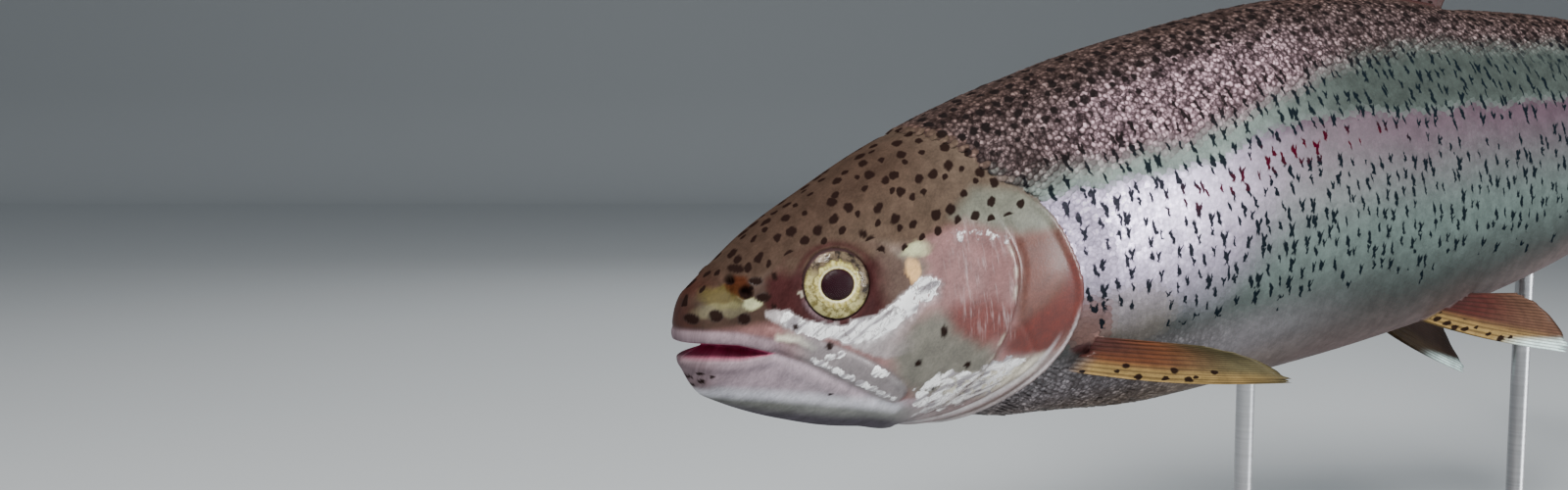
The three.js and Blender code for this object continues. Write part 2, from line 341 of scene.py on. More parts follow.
@dataclass
class Form:
    """The shape of the fish: its straight body, and the swimming curve it is held in.

    Straight coordinates are millimetres: x from the snout to the tail, y across with
    the left flank at -y, and z up from the body axis.
    """

    length: float = 427.0
    nose_round: float = 4.5
    rump_round: float = 6.0
    nose_down: float = 0.1529
    bends: tuple[Bend, ...] = (Bend(147, 276, -0.15), Bend(282, 470, 0.26))
    spine_start: int = -20
    spine_end: int = 540
    shift: np.ndarray = field(default_factory=lambda: np.zeros(3))

    def __post_init__(self) -> None:
        """Works out the tables that the other methods look up."""
        steps = np.linspace(0, len(STATIONS) - 1, 1401)
        self.steps = steps
        self.step_at = self.column("at", steps)
        x = np.arange(self.spine_start, self.spine_end, 1.0)
        heading = self.heading(x + 0.5)
        self.spine_x = self.spine_start + np.concatenate([[0], np.cumsum(np.cos(heading))])
        self.spine_y = np.concatenate([[0], np.cumsum(np.sin(heading))])
        self.spine_heading = np.append(heading, heading[-1])
        self.spine_at = np.arange(self.spine_start, self.spine_end + 1.0)
        self.girth_at = np.linspace(0, self.length, 108)
        self.girth_angle = np.linspace(math.pi / 2, -math.pi / 2, 91)
        rings, sides = len(self.girth_at), len(self.girth_angle)
        points = self.surface(np.repeat(self.girth_at, sides), np.tile(self.girth_angle, rings))
        legs = np.linalg.norm(np.diff(points.reshape(rings, sides, 3), axis=1), axis=2)
        self.girth = np.concatenate([np.zeros((rings, 1)), np.cumsum(legs, axis=1)], axis=1)

    def heading(self, x: Row) -> Row:
        """The middle line's heading at a distance along the body, in radians."""
        return sum(b.turn * smooth(x, b.start, b.end) for b in self.bends)

    @staticmethod
    def column(name: str, t: Row) -> Row:
        """A smooth curve through one field of the stations.

        Args:
            name: The field.
            t: Where to read it, counted in stations.

        Returns:
            The values there.
        """
        values = np.array([getattr(s, name) for s in STATIONS], float)
        last = len(values) - 1
        i = np.minimum(np.floor(t).astype(int), last - 1)
        f = t - i
        a, b = values[np.maximum(i - 1, 0)], values[i]
        c, d = values[i + 1], values[np.minimum(i + 2, last)]
        slope0 = np.where(i == 0, c - b, (c - a) / 2)
        slope1 = np.where(i == last - 1, c - b, (d - b) / 2)
        f2, f3 = f * f, f * f * f
        bends = (f3 - 2 * f2 + f) * slope0 + (f3 - f2) * slope1
        return (2 * f3 - 3 * f2 + 1) * b + (3 * f2 - 2 * f3) * c + bends

    @staticmethod
    def rounding(distance: Row, length: float) -> Row:
        """0 at the very tip of a rounded end, 1 once the rounding is over."""
        s = np.clip(1 - distance / length, 0, 1)
        return np.sqrt(1 - s * s)

    def section(self, x: Row, name: str) -> Row:
        """One field of the cross-section at distances x from the snout."""
        return self.column(name, np.interp(x, self.step_at, self.steps))

    def closing(self, x: Row) -> Row:
        """How far both rounded ends draw the section in, from 0 to 1."""
        return self.rounding(x, self.nose_round) * self.rounding(self.length - x, self.rump_round)

    def surface(self, x: Row, angle: Row, grow: float | Row = 0.0) -> Rows:
        """Points on the straight body.

        Args:
            x: Distances from the snout.
            angle: Angles around, 0 on the left flank and a quarter turn on the back.
            grow: How far outside the body, in millimetres.

        Returns:
            The points, one a row.
        """
        cos, sin = np.cos(angle), np.sin(angle)
        mid, close = self.section(x, "mid"), self.closing(x)
        up = sin > 0
        rise = np.where(up, self.section(x, "back") - mid, mid - self.section(x, "belly"))
        power = 2 / np.where(up, self.section(x, "over"), self.section(x, "under"))

        def reach(size: Row, part: Row) -> Row:
            """How far the section goes out one way."""
            out = size * close * np.abs(part) ** power + grow * np.abs(part)
            return np.sign(part) * np.maximum(0, out)

        return np.stack([x, -reach(self.section(x, "half"), cos), mid + reach(rise, sin)], axis=1)

    def around(self, points: Rows) -> Row:
        """The angle around the body of straight points, as surface() counts it."""
        x = np.clip(points[:, 0], 0.05, self.length - 0.05)
        mid, close = self.section(x, "mid"), self.closing(x)
        up = points[:, 2] > mid
        rise = np.where(up, self.section(x, "back") - mid, mid - self.section(x, "belly"))
        power = np.where(up, self.section(x, "over"), self.section(x, "under")) / 2
        across = -points[:, 1] / (self.section(x, "half") * close)
        along = (points[:, 2] - mid) / (rise * close)
        return np.arctan2(*(np.sign(way) * np.abs(way) ** power for way in (along, across)))

    def girth_of(self, x: Row, angle: Row) -> Row:
        """Distance over the skin from the back's ridge, positive down the left side."""
        left = np.cos(angle) >= 0
        folded = np.where(left, angle, np.pi - angle)
        folded = np.where(folded > np.pi / 2 + 1e-9, folded - 2 * np.pi, folded)
        i = np.clip(x / self.length, 0, 1) * (len(self.girth_at) - 1)
        j = np.clip((np.pi / 2 - folded) / np.pi, 0, 1) * (len(self.girth_angle) - 1)
        i0 = np.minimum(i.astype(int), len(self.girth_at) - 2)
        j0 = np.minimum(j.astype(int), len(self.girth_angle) - 2)
        fi, fj = i - i0, j - j0
        near = self.girth[i0, j0] * (1 - fj) + self.girth[i0, j0 + 1] * fj
        far = self.girth[i0 + 1, j0] * (1 - fj) + self.girth[i0 + 1, j0 + 1] * fj
        return np.where(left, 1, -1) * (near * (1 - fi) + far * fi)

    def posed(self, points: Rows) -> Rows:
        """Straight points, in millimetres, bent, tipped and placed in the frame in metres."""
        x = points[:, 0]
        heading = np.interp(x, self.spine_at, self.spine_heading)
        bent_x = np.interp(x, self.spine_at, self.spine_x) - np.sin(heading) * points[:, 1]
        bent_y = np.interp(x, self.spine_at, self.spine_y) + np.cos(heading) * points[:, 1]
        cos, sin = math.cos(self.nose_down), math.sin(self.nose_down)
        z = points[:, 2]
        tipped = np.stack([bent_x * cos - z * sin, bent_y, bent_x * sin + z * cos], axis=1)
        return tipped * MM + self.shift

    def normals(self, x: Row, angle: Row) -> Rows:
        """Outward directions of the straight body."""
        inner = np.clip(x, 0.06, self.length - 0.06)
        step = np.minimum(0.25, np.minimum(inner, self.length - inner) * 0.5)
        along = self.surface(inner + step, angle) - self.surface(inner - step, angle)
        round_ = self.surface(inner, angle + 0.01) - self.surface(inner, angle - 0.01)
        out = np.cross(along, round_)
        length = np.linalg.norm(out, axis=1, keepdims=True)
        out /= np.maximum(length, 1e-12)
        flips = np.sign(out[:, 1] * -np.cos(angle) + out[:, 2] * np.sin(angle))
        return out * np.where(flips < 0, -1, 1)[:, None]


LIP_LINE = ((-4, -1.4), (3, -2.1), (10, -3.6), (17.5, -6.8))
JAW_LINE = ((-4, -5.6), (3, -6.2), (10, -7.2), (17.5, -6.8))
CREASE = ((17.5, -6.8), (24, -10.4), (31, -15.6), (37, -20), (43.5, -24.6))
UPPER_LIP = ((-4, 1.2), (3, 0.6), (10, -0.8), (17.5, -3.6), (24, -7.4))
MAXILLA = rounded(
    (
        (17, -0.4), (23, -2.4), (27, -5.3), (32, -8.3), (38, -12.4), (44.3, -17.6), (47.4, -22.4),
        (44, -24.8), (37, -20), (31, -15.6), (24, -10.4), (17.5, -6.2),
    ),
    closed=True,
)
MAXILLA_TOP = ((17, -0.4), (23, -2.4), (27, -5.3), (32, -8.3), (38, -12.4), (45.5, -19))
PREOPERCLE = rounded(((70, 17), (74, 7), (74.5, 0), (71.6, -10), (66, -20), (58, -27), (48, -31)))
GILL_EDGE = rounded(
    (
        (71, 21), (80, 18.6), (86, 14), (90.5, 5), (92.8, -6), (90.5, -16), (84.5, -24.5),
        (75, -31.5), (64, -36), (52, -37.5),
    )
)
GILL_SEAM = ((76, -12), (80, -20), (73, -28), (60, -33))
LID = rounded(((23.5, 8), (26, 12.2), (30.5, 14.6), (36, 14.6), (41, 11.6), (43.3, 7)))
NAPE_FOOT = 15.5
NAPE_EDGE = rounded(((58, 36.5), (64.7, 33.6), (70.4, 28.7), (74.2, 23.4), (80.3, 20.1), (86, NAPE_FOOT)))
MOUTH_END = 17.6
EYE_AREA_END = 60.0


def follow_by_height(z: Row, line: Outline) -> Row:
    """The first coordinate of a line whose heights fall along it, read at z."""
    ordered = sorted(line, key=lambda p: p[1])
    return np.interp(z, [p[1] for p in ordered], [p[0] for p in ordered])


@dataclass(frozen=True)
class EyePlace:
    """Where the left eye sits, in straight millimetres.

    Args:
        at: Its centre's distance from the snout.
        out: How far its centre is from the middle plane.
        height: Its centre's height.
        opening: The radius of the skin's opening.
        forward: How far it looks forward, in radians.
        up: How far it looks up, in radians.
    """

    at: float = 33.0
    out: float = 15.4
    height: float = 5.6
    opening: float = 7.5
    forward: float = 0.2
    up: float = 0.1


@dataclass(frozen=True)
class Relief:
    """The folds, plates and openings of the head, as heights over the smooth body."""

    eye: EyePlace = EyePlace()
    mouth_depth: float = 7.0
    gill_step: float = 1.7
    nostrils: tuple[Point, ...] = ((11.6, 10.2, 1.0), (13.7, 7.3, 1.45))

    def plates(self, x: Row, z: Row) -> Row:
        """How far the plates and lips of the head stand out, in millimetres."""
        lip, jaw = follow(x, LIP_LINE), follow(x, JAW_LINE)
        snout = smooth(x, 22, 15)
        rise = 0.4 * bump(z - lip - 1.1, 1.9) * snout - 0.22 * stroke(x, z, UPPER_LIP, 0.9)
        rise += 0.5 * bump(z - jaw + 1.3, 2.0) * snout
        crease, _ = line_distance(x, z, CREASE)
        rise += 0.45 * inside(x, z, MAXILLA, 2.2) - 0.55 * bump(crease, 1.5) * smooth(x, 15, 19)
        rise -= 0.35 * stroke(x, z, MAXILLA_TOP, 1.2)
        rise += 0.35 * bump(crease - 2.6, 2.2) * (z < follow(x, CREASE)) * smooth(x, 16, 22)
        ridge, _ = line_distance(x, z, PREOPERCLE)
        ahead = x < follow_by_height(z, PREOPERCLE)
        tall = 0.9 * smooth(z, 14, 4)
        rise += tall * np.where(ahead, smooth(ridge, 8.0, 0.3), smooth(ridge, 1.6, 0.0))
        rise -= 0.25 * bump(ridge - 2.2, 1.8) * ~ahead
        rise -= 0.3 * stroke(x, z, GILL_SEAM, 1.0)
        edge, share = line_distance(x, z, GILL_EDGE)
        behind = self.behind(x, z)
        cover = smooth(share, 0.02, 0.2)
        rise += np.where(behind, -self.gill_step * smooth(edge, 11.0, 0.8) * cover, 0)
        rise += 0.35 * np.where(behind, 0, bump(edge - 0.9, 1.8)) * cover
        low = smooth(z, -20, -27) * ~behind
        rise += 0.28 * np.cos(edge * 2.4) * bump(edge - 3.6, 4.2) * low
        lid, _ = line_distance(x, z, LID)
        rise += 0.2 * bump(lid, 1.4) - 0.1 * bump(lid - 1.6, 1.4)
        return rise - 0.25 * stroke(x, z, NAPE_EDGE, 1.4)

    @staticmethod
    def behind(x: Row, z: Row) -> Row:
        """Whether points lie behind the gill cover's free edge."""
        return x > follow_by_height(z, GILL_EDGE)

    def pits(self, x: Row, z: Row) -> Row:
        """How deep the nostrils sink, less the rims that stand round them."""
        sunk = np.zeros(x.shape)
        for at, height, size in self.nostrils:
            reach = np.hypot(x - at, z - height)
            sunk += 1.9 * smooth(reach, size, size * 0.35) - 0.35 * bump(reach - size - 0.5, 0.9)
        return sunk

    def eye_reach(self, points: Rows) -> Row:
        """Distance of straight points from the eye's line of sight."""
        e = self.eye
        dx, dy = points[:, 0] - e.at, np.abs(points[:, 1]) - e.out
        across = dx * math.cos(e.forward) + dy * math.sin(e.forward)
        return np.hypot(across, points[:, 2] - e.height)

    def socket(self, reach: Row) -> Row:
        """The eye's opening: a rolled rim, a soft fold round it, and a well for the eyeball."""
        e = self.eye
        rim = 0.4 * bump(reach - e.opening - 0.5, 1.0) - 0.12 * bump(reach - e.opening - 1.9, 1.4)
        return rim - 4.6 * smooth(reach, e.opening + 0.12, e.opening - 0.5)

    def mouth(self, points: Rows) -> Rows:
        """Draws the skin between the lips inwards.

        Args:
            points: Straight points of the skin.

        Returns:
            How each point moves.
        """
        x, z = points[:, 0], points[:, 2]
        lip, jaw = follow(x, LIP_LINE), follow(x, JAW_LINE)
        gap = np.maximum(lip - jaw, 0)
        open_ = smooth(z, lip + 0.15, lip - 0.75) * smooth(z, jaw - 0.15, jaw + 0.75)
        depth = self.mouth_depth * np.clip(gap / 3.4, 0, 1) * open_ * (x < MOUTH_END)
        target = np.stack([x * 0.75 + 7, points[:, 1] * 0, (lip + jaw) / 2], axis=1)
        way = target - points
        far = np.maximum(np.linalg.norm(way, axis=1), 1e-6)
        return way * np.minimum(depth / far, 0.8 * open_)[:, None]

    def snapped(self, points: Rows) -> Rows:
        """Slides points near the eye's opening onto its circle, so that the rim is clean."""
        e = self.eye
        reach = self.eye_reach(points)
        near = (np.abs(reach - e.opening) < 0.34) & (points[:, 0] < EYE_AREA_END)
        pull = np.where(near, e.opening / np.maximum(reach, 1e-3), 1.0)
        moved = points.copy()
        moved[:, 0] = e.at + (points[:, 0] - e.at) * pull
        moved[:, 2] = e.height + (points[:, 2] - e.height) * pull
        return moved


class Fin(IntEnum):
    """The fins, numbered as the skin's vertices remember them. 0 is the body."""

    DORSAL = 1
    ADIPOSE = 2
    ANAL = 3
    TAIL = 4
    PECTORAL = 5
    PELVIC = 6


@dataclass(frozen=True)
class FinShape:
    """One fin, between the root and tip of its first ray and of its last one.

    Args:
        fin: Which fin it is.
        root: Where the first and last rays leave the body.
        tip: Where they end.
        margin: How far the outer edge bows out, negative for a fork.
        lead: How far the first ray bows forward.
        trail: How far the last ray bows back.
        rays: How many rays it shows.
        rows: How many rows of faces it has from root to margin.
        wave: How far it sways out of its own plane.
    """

    fin: Fin
    root: tuple[Point, Point]
    tip: tuple[Point, Point]
    margin: float
    lead: float
    trail: float
    rays: int
    rows: int = 22
    wave: float = 0.0

    def width(self) -> float:
        """How wide the fin is half way out, in millimetres."""
        return (math.dist(*self.root) + math.dist(*self.tip)) / 2

    def mesh(self) -> BMesh:
        """Builds the fin as one closed blade with its rays raised on both faces."""
        bm = bmesh.new()
        bmesh.ops.create_grid(bm, x_segments=self.rays * 6, y_segments=self.rows, size=1)
        layer = bm.verts.layers.float_vector.new("fin")
        (first_root, last_root), (first_tip, last_tip) = np.array([self.root, self.tip], float)
        outward = first_tip + last_tip - first_root - last_root
        outward /= np.linalg.norm(outward)
        across = last_root - first_root
        normal = np.cross(outward, across)
        normal /= np.linalg.norm(normal)
        ahead = np.cross(outward, normal)
        ahead *= -1 if ahead @ across > 0 else 1
        for v in bm.verts:
            turn = math.pi * (v.co.x + 1)
            ray, out = (1 - math.cos(turn)) / 2, (v.co.y + 1) / 2
            split = ray_ridge(ray, out, self.rays)
            frayed = 1 - 0.04 * (1 - split) * out**4
            corner = max(0, (ray - 0.66) / 0.34) ** 2
            reach = out * (frayed - 0.15 * corner * (self.margin > 0))
            root = first_root + across * ray
            tip = first_tip + (last_tip - first_tip) * ray
            tip = tip + outward * self.margin * math.sin(math.pi * ray)
            bow = self.lead * (1 - ray) ** 2 - self.trail * ray**2
            sway = self.wave * out**1.5 * math.sin(2.2 * math.pi * ray + 0.6)
            body = (2.4 * (1 - out) ** 2 + 0.62) * (0.8 + 0.42 * split * min(1, 3 * out))
            blade = 0.5 * body * min(1, abs(math.sin(turn)) * 5) ** 0.5
            blade *= 1 - max(0, (out - 0.93) / 0.07) ** 2
            blade *= 0 if out < 1e-6 else 1
            side = 1 if math.sin(turn) > 0 else -1
            place = root + (tip - root) * reach + ahead * bow * math.sin(math.pi * out)
            v.co = Vector(place + normal * (sway + side * blade))
            v[layer] = Vector((self.fin, ray, out))
        bmesh.ops.remove_doubles(bm, verts=bm.verts, dist=2e-3)
        bmesh.ops.recalc_face_normals(bm, faces=bm.faces)
        return bm


def ray_ridge(ray: float, out: float, rays: int) -> float:
    """How high a fin's surface stands on its rays, which part in two on the way out."""
    single = 0.5 + 0.5 * math.cos(2 * math.pi * rays * ray)
    double = 0.5 + 0.5 * math.cos(4 * math.pi * rays * ray)
    share = min(1.0, max(0.0, (out - 0.4) / 0.25))
    return single * (1 - share) + double * share


def mirrored(points: tuple[Point, Point]) -> tuple[Point, Point]:
    """The same two places on the other side of the fish."""
    return tuple((x, -y, z) for x, y, z in points)


PECTORAL_ROOT = ((89, -20.5, -26.5), (97, -22.5, -19.5))
PECTORAL_TIP = ((145, -37, -40), (126, -34, -27))
ANAL_ROOT = ((318, 0, -31), (362, 0, -20))
TAIL_ROOT = ((419, 0, 18.5), (419, 0, -18.5))
LEFT_PELVIC = ((226, -7.5, -43), (241, -11, -39))
RIGHT_PELVIC = ((225, 6, -44), (240, 10, -40))
FINS = (
    FinShape(Fin.DORSAL, ((196, 0, 50), (256, 0, 44)), ((224, 0, 100), (271, 0, 68)), 3, 3, 0, 12, wave=1.2),
    FinShape(Fin.ADIPOSE, ((351, 0, 22), (361, 0, 20)), ((374, 0, 37.5), (373, 0, 31)), 2, 2.5, 0, 6, 12),
    FinShape(Fin.ANAL, ANAL_ROOT, ((349, 0, -76), (374, 0, -42)), 2, 2.5, 0, 11, wave=0.8),
    FinShape(Fin.TAIL, TAIL_ROOT, ((483, 0, 53), (483, 0, -53)), -14, 4, 4, 19, 30, 1.0),
    FinShape(Fin.PECTORAL, PECTORAL_ROOT, PECTORAL_TIP, 5, 1.5, 0, 11, wave=0.8),
    FinShape(Fin.PECTORAL, mirrored(PECTORAL_ROOT), mirrored(PECTORAL_TIP), 5, 1.5, 0, 11, wave=0.8),
    FinShape(Fin.PELVIC, LEFT_PELVIC, ((271, -25, -61), (264, -19, -42)), 5, 1.5, 0, 9, wave=0.8),
    FinShape(Fin.PELVIC, RIGHT_PELVIC, ((271, 11, -75), (267, 15, -56)), 4, 1.5, 0, 9, wave=0.8),
)


class Tone(Enum):
    """The colours of the fish, as screen values."""

    RIDGE = (72, 58, 54)
    BACK = (92, 78, 78)
    BACK_PINK = (156, 130, 138)
    GREEN_BAND = (116, 128, 122)
    SILVER = (238, 222, 255)
    STRIPE = (74, 56, 66)
    FLANK = (84, 97, 93)
    LOW_FLANK = (52, 56, 54)
    BELLY = (112, 94, 92)
    BREAST = (116, 106, 98)
    BREAST_PALE = (122, 118, 122)
    CROWN = (66, 52, 44)
    BROW = (80, 66, 56)
    NAPE = (84, 72, 62)
    GREEN_PLATE = (104, 104, 92)
    SNOUT = (62, 38, 32)
    YELLOW = (84, 74, 40)
    MINT = (178, 180, 140)
    LIP = (124, 108, 114)
    MOUTH = (168, 60, 100)
    JAW = (150, 134, 142)
    JAW_PALE = (196, 194, 202)
    JAW_UNDER = (76, 72, 78)
    JAW_GREY = (108, 108, 104)
    JAW_TIP = (116, 98, 102)
    SOCKET = (58, 32, 32)
    TEMPLE = (112, 100, 90)
    FOIL = (255, 252, 254)
    PLATE = (146, 136, 136)
    CHEEK = (106, 102, 92)
    GILL = (128, 92, 90)
    BLUSH = (98, 42, 36)
    COVER = (84, 42, 26)
    RED = (90, 22, 8)
    CREAM = (228, 222, 200)
    AMBER = (206, 164, 112)
    NOSTRIL = (64, 32, 18)
    MUZZLE = (58, 42, 34)
    FIN_ORANGE = (96, 56, 34)
    FIN_YELLOW = (136, 112, 68)
    FIN_RED = (70, 32, 28)
    FIN_BROWN = (90, 64, 50)
    FIN_PALE = (226, 250, 246)
    FIN_OLIVE = (82, 76, 52)
    FIN_DARK = (34, 22, 16)
    MAXILLA = (120, 116, 118)
    INK_HEAD = (30, 20, 18)
    INK_BACK = (26, 22, 22)
    INK_FLANK = (14, 22, 28)
    INK_STRIPE = (62, 0, 20)
    FIN_DORSAL = (60, 28, 28)

    def light(self) -> np.ndarray:
        """The colour as linear light."""
        return np.array(linear(*self.value))


GRAIN_LOW = ((66, 16), (80, 30), (97, 33), (131, 37), (165, 33), (220, 26), (288, 17), (427, 11))
BAND_LOW = ((86, 37), (109, 42), (135, 46), (160, 42), (217, 46), (279, 35), (350, 25), (427, 18))
STRIPE_LOW = ((92, 56), (105, 64), (136, 71), (160, 61), (213, 62), (275, 51), (350, 36), (427, 26))
FLANK_LOW = ((92, 70), (155, 88), (217, 92), (279, 74), (350, 50), (427, 34))
CROWN_LOW = (
    (-1, 5.6), (6, 8.5), (17, 9.5), (23.5, 11.6), (34.4, 13.2), (50, 11), (60, 13), (68, 14.5), (79, 15.8)
)
ROUND_EYE = (
    (17, 4), (18.5, 9), (24.5, 13.6), (34, 15), (43, 13), (48, 8.5), (50, 2), (44, -3), (33, -4.4), (22, -2.8)
)
UNDER_EYE = (
    (17, 3), (22, 1.6), (27, -2), (33, -3), (42, -1.8), (47.5, 1.8), (52, 3.8), (57, 2), (58, -5),
    (52, -11), (44, -13), (36, -10.2), (31, -6.4), (26, -4.6), (19, -1),
)
JOWL = ((42, -10), (49, -5), (57, -4), (66, -10), (69, -20), (62, -27), (52, -26), (44, -19))
LOW_FOIL = ((48, -22), (55, -18), (62, -19.5), (72, -18), (79, -21), (70, -29), (60, -31.5), (50, -30))
COVER_LOW = ((62, -22), (76, -20), (86, -21), (83, -26), (74, -33), (60, -37), (50, -37), (46, -27))
RED_EDGE = (
    (89, 2), (92, -2), (95, -9), (92, -19), (80, -21.5), (71.5, -18), (75, -11.5), (83, -8.5), (87.5, -4.5)
)
HEAD_SPOTS = (
    (2.6, 3.3, 1.1, 1.2), (6.9, 3.4, 1.45, 1.35), (12.2, 1.9, 1.3, 1.3), (16.9, 5.8, 1.6, 1.0),
    (55.6, -9.3, 0.8, 1.5), (49.4, -15.6, 1.0, 0.7), (61.6, -18.6, 0.9, 0.7), (53.8, -23, 0.5, 0.7),
    (22.5, -1.8, 0.7, 0.6), (13.8, 12.4, 1.5, 0.9), (16.3, 9.4, 1.5, 0.9), (29.0, -7.2, 0.9, 0.8),
    (1.2, -10.4, 0.5, 0.5), (2.6, -9.2, 0.6, 0.4), (2.9, -11.2, 0.5, 0.6), (4.6, -10.2, 0.4, 0.5),
    (1.9, -12.6, 0.4, 0.4), (29.5, -19.0, 0.5, 0.3), (18.6, 3.6, 0.6, 0.5), (41.0, 15.6, 1.0, 0.8),
    (20.2, 9.8, 0.6, 0.9),
)


@dataclass
class Coat:
    """Colours and masks for a set of points on the straight fish.

    Args:
        x: Distances from the snout.
        z: Heights.
        girth: Distances over the skin from the back's ridge, without their side.
        full: That distance at the belly.
    """

    x: Row
    z: Row
    girth: Row
    full: Row
    tone: Rows = field(init=False)
    ink: Rows = field(init=False)
    density: Row = field(init=False)
    slash: Row = field(init=False)
    foil: Row = field(init=False)
    silver: Row = field(init=False)
    grain: Row = field(init=False)
    dull: Row = field(init=False)
    streak: Row = field(init=False)
    inked: Row = field(init=False)
    rim: Row = field(init=False)

    def __post_init__(self) -> None:
        """Starts every mask empty and lays the colours on, from the trunk to the eye."""
        count = len(self.x)
        self.tone = np.tile(Tone.FLANK.light(), (count, 1))
        self.ink = np.tile(Tone.INK_FLANK.light(), (count, 1))
        for name in ("density", "slash", "foil", "silver", "grain", "dull", "streak", "inked", "rim"):
            setattr(self, name, np.zeros(count))
        self.trunk()
        self.crown()
        self.cheek()
        self.cover()
        self.jaws()

    def lay(self, mask: Row, tone: Tone) -> None:
        """Lays a colour over the ones below it."""
        self.tone += (tone.light() - self.tone) * mask[:, None]

    def lay_ink(self, mask: Row, tone: Tone) -> None:
        """Lays a colour of spot over the ones below it."""
        self.ink += (tone.light() - self.ink) * mask[:, None]

    def clear(self, mask: Row, *names: str) -> None:
        """Takes masks off where another one is full."""
        for name in names:
            setattr(self, name, getattr(self, name) * (1 - mask))

    def trunk(self) -> None:
        """The bands that run along the trunk and the stalk of the tail."""
        x, g = wobble(self.x, self.girth, 0.9, 6.5)
        full = self.full
        limits = (GRAIN_LOW, BAND_LOW, STRIPE_LOW, FLANK_LOW)
        grain_low, band_low, stripe_low, flank_low = (follow(x, line) for line in limits)
        back = smooth(g, grain_low + 6, grain_low - 3.5)
        band = smooth(g, band_low + 2.5, band_low - 1.5)
        stripe = smooth(g, stripe_low + 18, stripe_low - 13)
        flank = smooth(g, flank_low + 12, flank_low - 12)
        self.lay(1 - flank, Tone.LOW_FLANK)
        self.lay(smooth(g, np.minimum(flank_low + 4, full - 12), full - 5), Tone.BELLY)
        breast = smooth(x, 200, 130) * smooth(self.z, -20, -31)
        self.lay(breast * 0.8, Tone.BREAST_PALE)
        self.lay(smooth(x, 190, 130) * smooth(self.z, -33, -43), Tone.BREAST)
        self.lay(stripe * (1 - band), Tone.STRIPE)
        # the silvery shoulder patch, its pale lilac white partly the skin's own and partly a painted
        # reflection, fading back along the flank
        silver = stripe * (1 - band) * smooth(x, 190, 98) ** 2
        self.lay(silver, Tone.SILVER)
        self.lay(band, Tone.GREEN_BAND)
        self.lay(back, Tone.BACK)
        self.tone *= (1 - 0.72 * band * smooth(x, 130, 195) * (1 - back))[:, None]
        pink = back * smooth(g, 13, 26) * smooth(x, 84, 116) * smooth(x, 205, 150)
        self.lay(pink, Tone.BACK_PINK)
        self.lay(smooth(g, 21, 5), Tone.RIDGE)
        self.silver += 0.22 + 0.3 * silver + 0.1 * stripe - 0.1 * band - 0.1 * back
        self.grain += back * (0.55 + 0.45 * smooth(g, 3, 12)) + 0.3 * silver + 0.05
        shoulder = smooth(x, 98, 110) * smooth(x, 175, 140)
        # mask of the painted highlight streaks on the silvery shoulder
        self.streak += 0.8 * silver * shoulder * smooth(g, band_low, stripe_low)
        self.dull += 0.6 + 0.3 * back + 0.2 * band - 0.5 * silver + 0.25 * smooth(x, 160, 215)
        below = smooth(g, flank_low + 9, flank_low - 9)
        fading = smooth(x, 92, 104) * smooth(x, 205, 160) * 0.3
        above = band + back + band * smooth(x, 120, 170)
        self.density += np.clip((0.9 + fading) * below + 0.2 * above, 0, 1)
        sparse = smooth(g, band_low + 1, band_low + 7) * smooth(g, stripe_low, stripe_low - 6)
        self.density *= 1 - 0.45 * sparse * smooth(x, 150, 180)
        self.slash += smooth(g, 18, 30)
        self.lay_ink(back, Tone.INK_BACK)
        crimson = bump(g - band_low - 8, 5) * smooth(x, 112, 135) * smooth(x, 215, 190)
        self.lay_ink(crimson, Tone.INK_STRIPE)
        self.foil += 0.28 * smooth(x, 150, 110) * smooth(self.z, -24, -32)
        self.grain += 0.6 * breast * smooth(x, 150, 110)

    def crown(self) -> None:
        """The spotted top of the head, down to the eyes and the upper gill cover."""
        x, z = self.x, self.z
        low = follow(x, CROWN_LOW)
        nape, gill = follow_by_height(z, NAPE_EDGE), follow_by_height(z, GILL_EDGE)
        ahead = x < np.where(z > NAPE_FOOT, nape, gill)
        edge, _ = line_distance(x, z, NAPE_EDGE)
        head = np.where(ahead, 1.0, smooth(edge, 1 + 2 * smooth(x, 78, 70), 0) * (z > NAPE_FOOT))
        self.clear(head, "silver", "grain", "density", "slash", "streak", "dull", "foil")
        top = head * smooth(z, low - 1.6, low + 1.4)
        self.lay(head, Tone.GILL)
        self.lay(head * smooth(x, 25, 17) * smooth(z, -1.5, 1.5), Tone.MUZZLE)
        self.lay(top, Tone.BROW)
        self.lay(top * smooth(self.girth, 24, 10), Tone.CROWN)
        self.lay(top * smooth(x, 50, 76), Tone.NAPE)
        self.lay(top * smooth(x, 13, 4), Tone.SNOUT)
        self.lay(head * smooth(x, 4.5, 1.5) * smooth(z, -0.5, 1.5), Tone.SNOUT)
        green = inside(x, z, ((66, 12), (62, 16), (69, 21), (80, 19.4), (87, 14), (88, 8), (74, 9)), 4)
        self.lay(head * green, Tone.GREEN_PLATE)
        self.silver += head * (0.05 + 0.15 * green)
        self.grain += head * 0.06
        self.dull += top * (1 - 0.5 * green) + 0.7 * head * (1 - top) * smooth(x, 25, 15)
        self.density += head * smooth(z, low - 2.4, low - 0.8) * 0.97
        self.lay_ink(head, Tone.INK_HEAD)

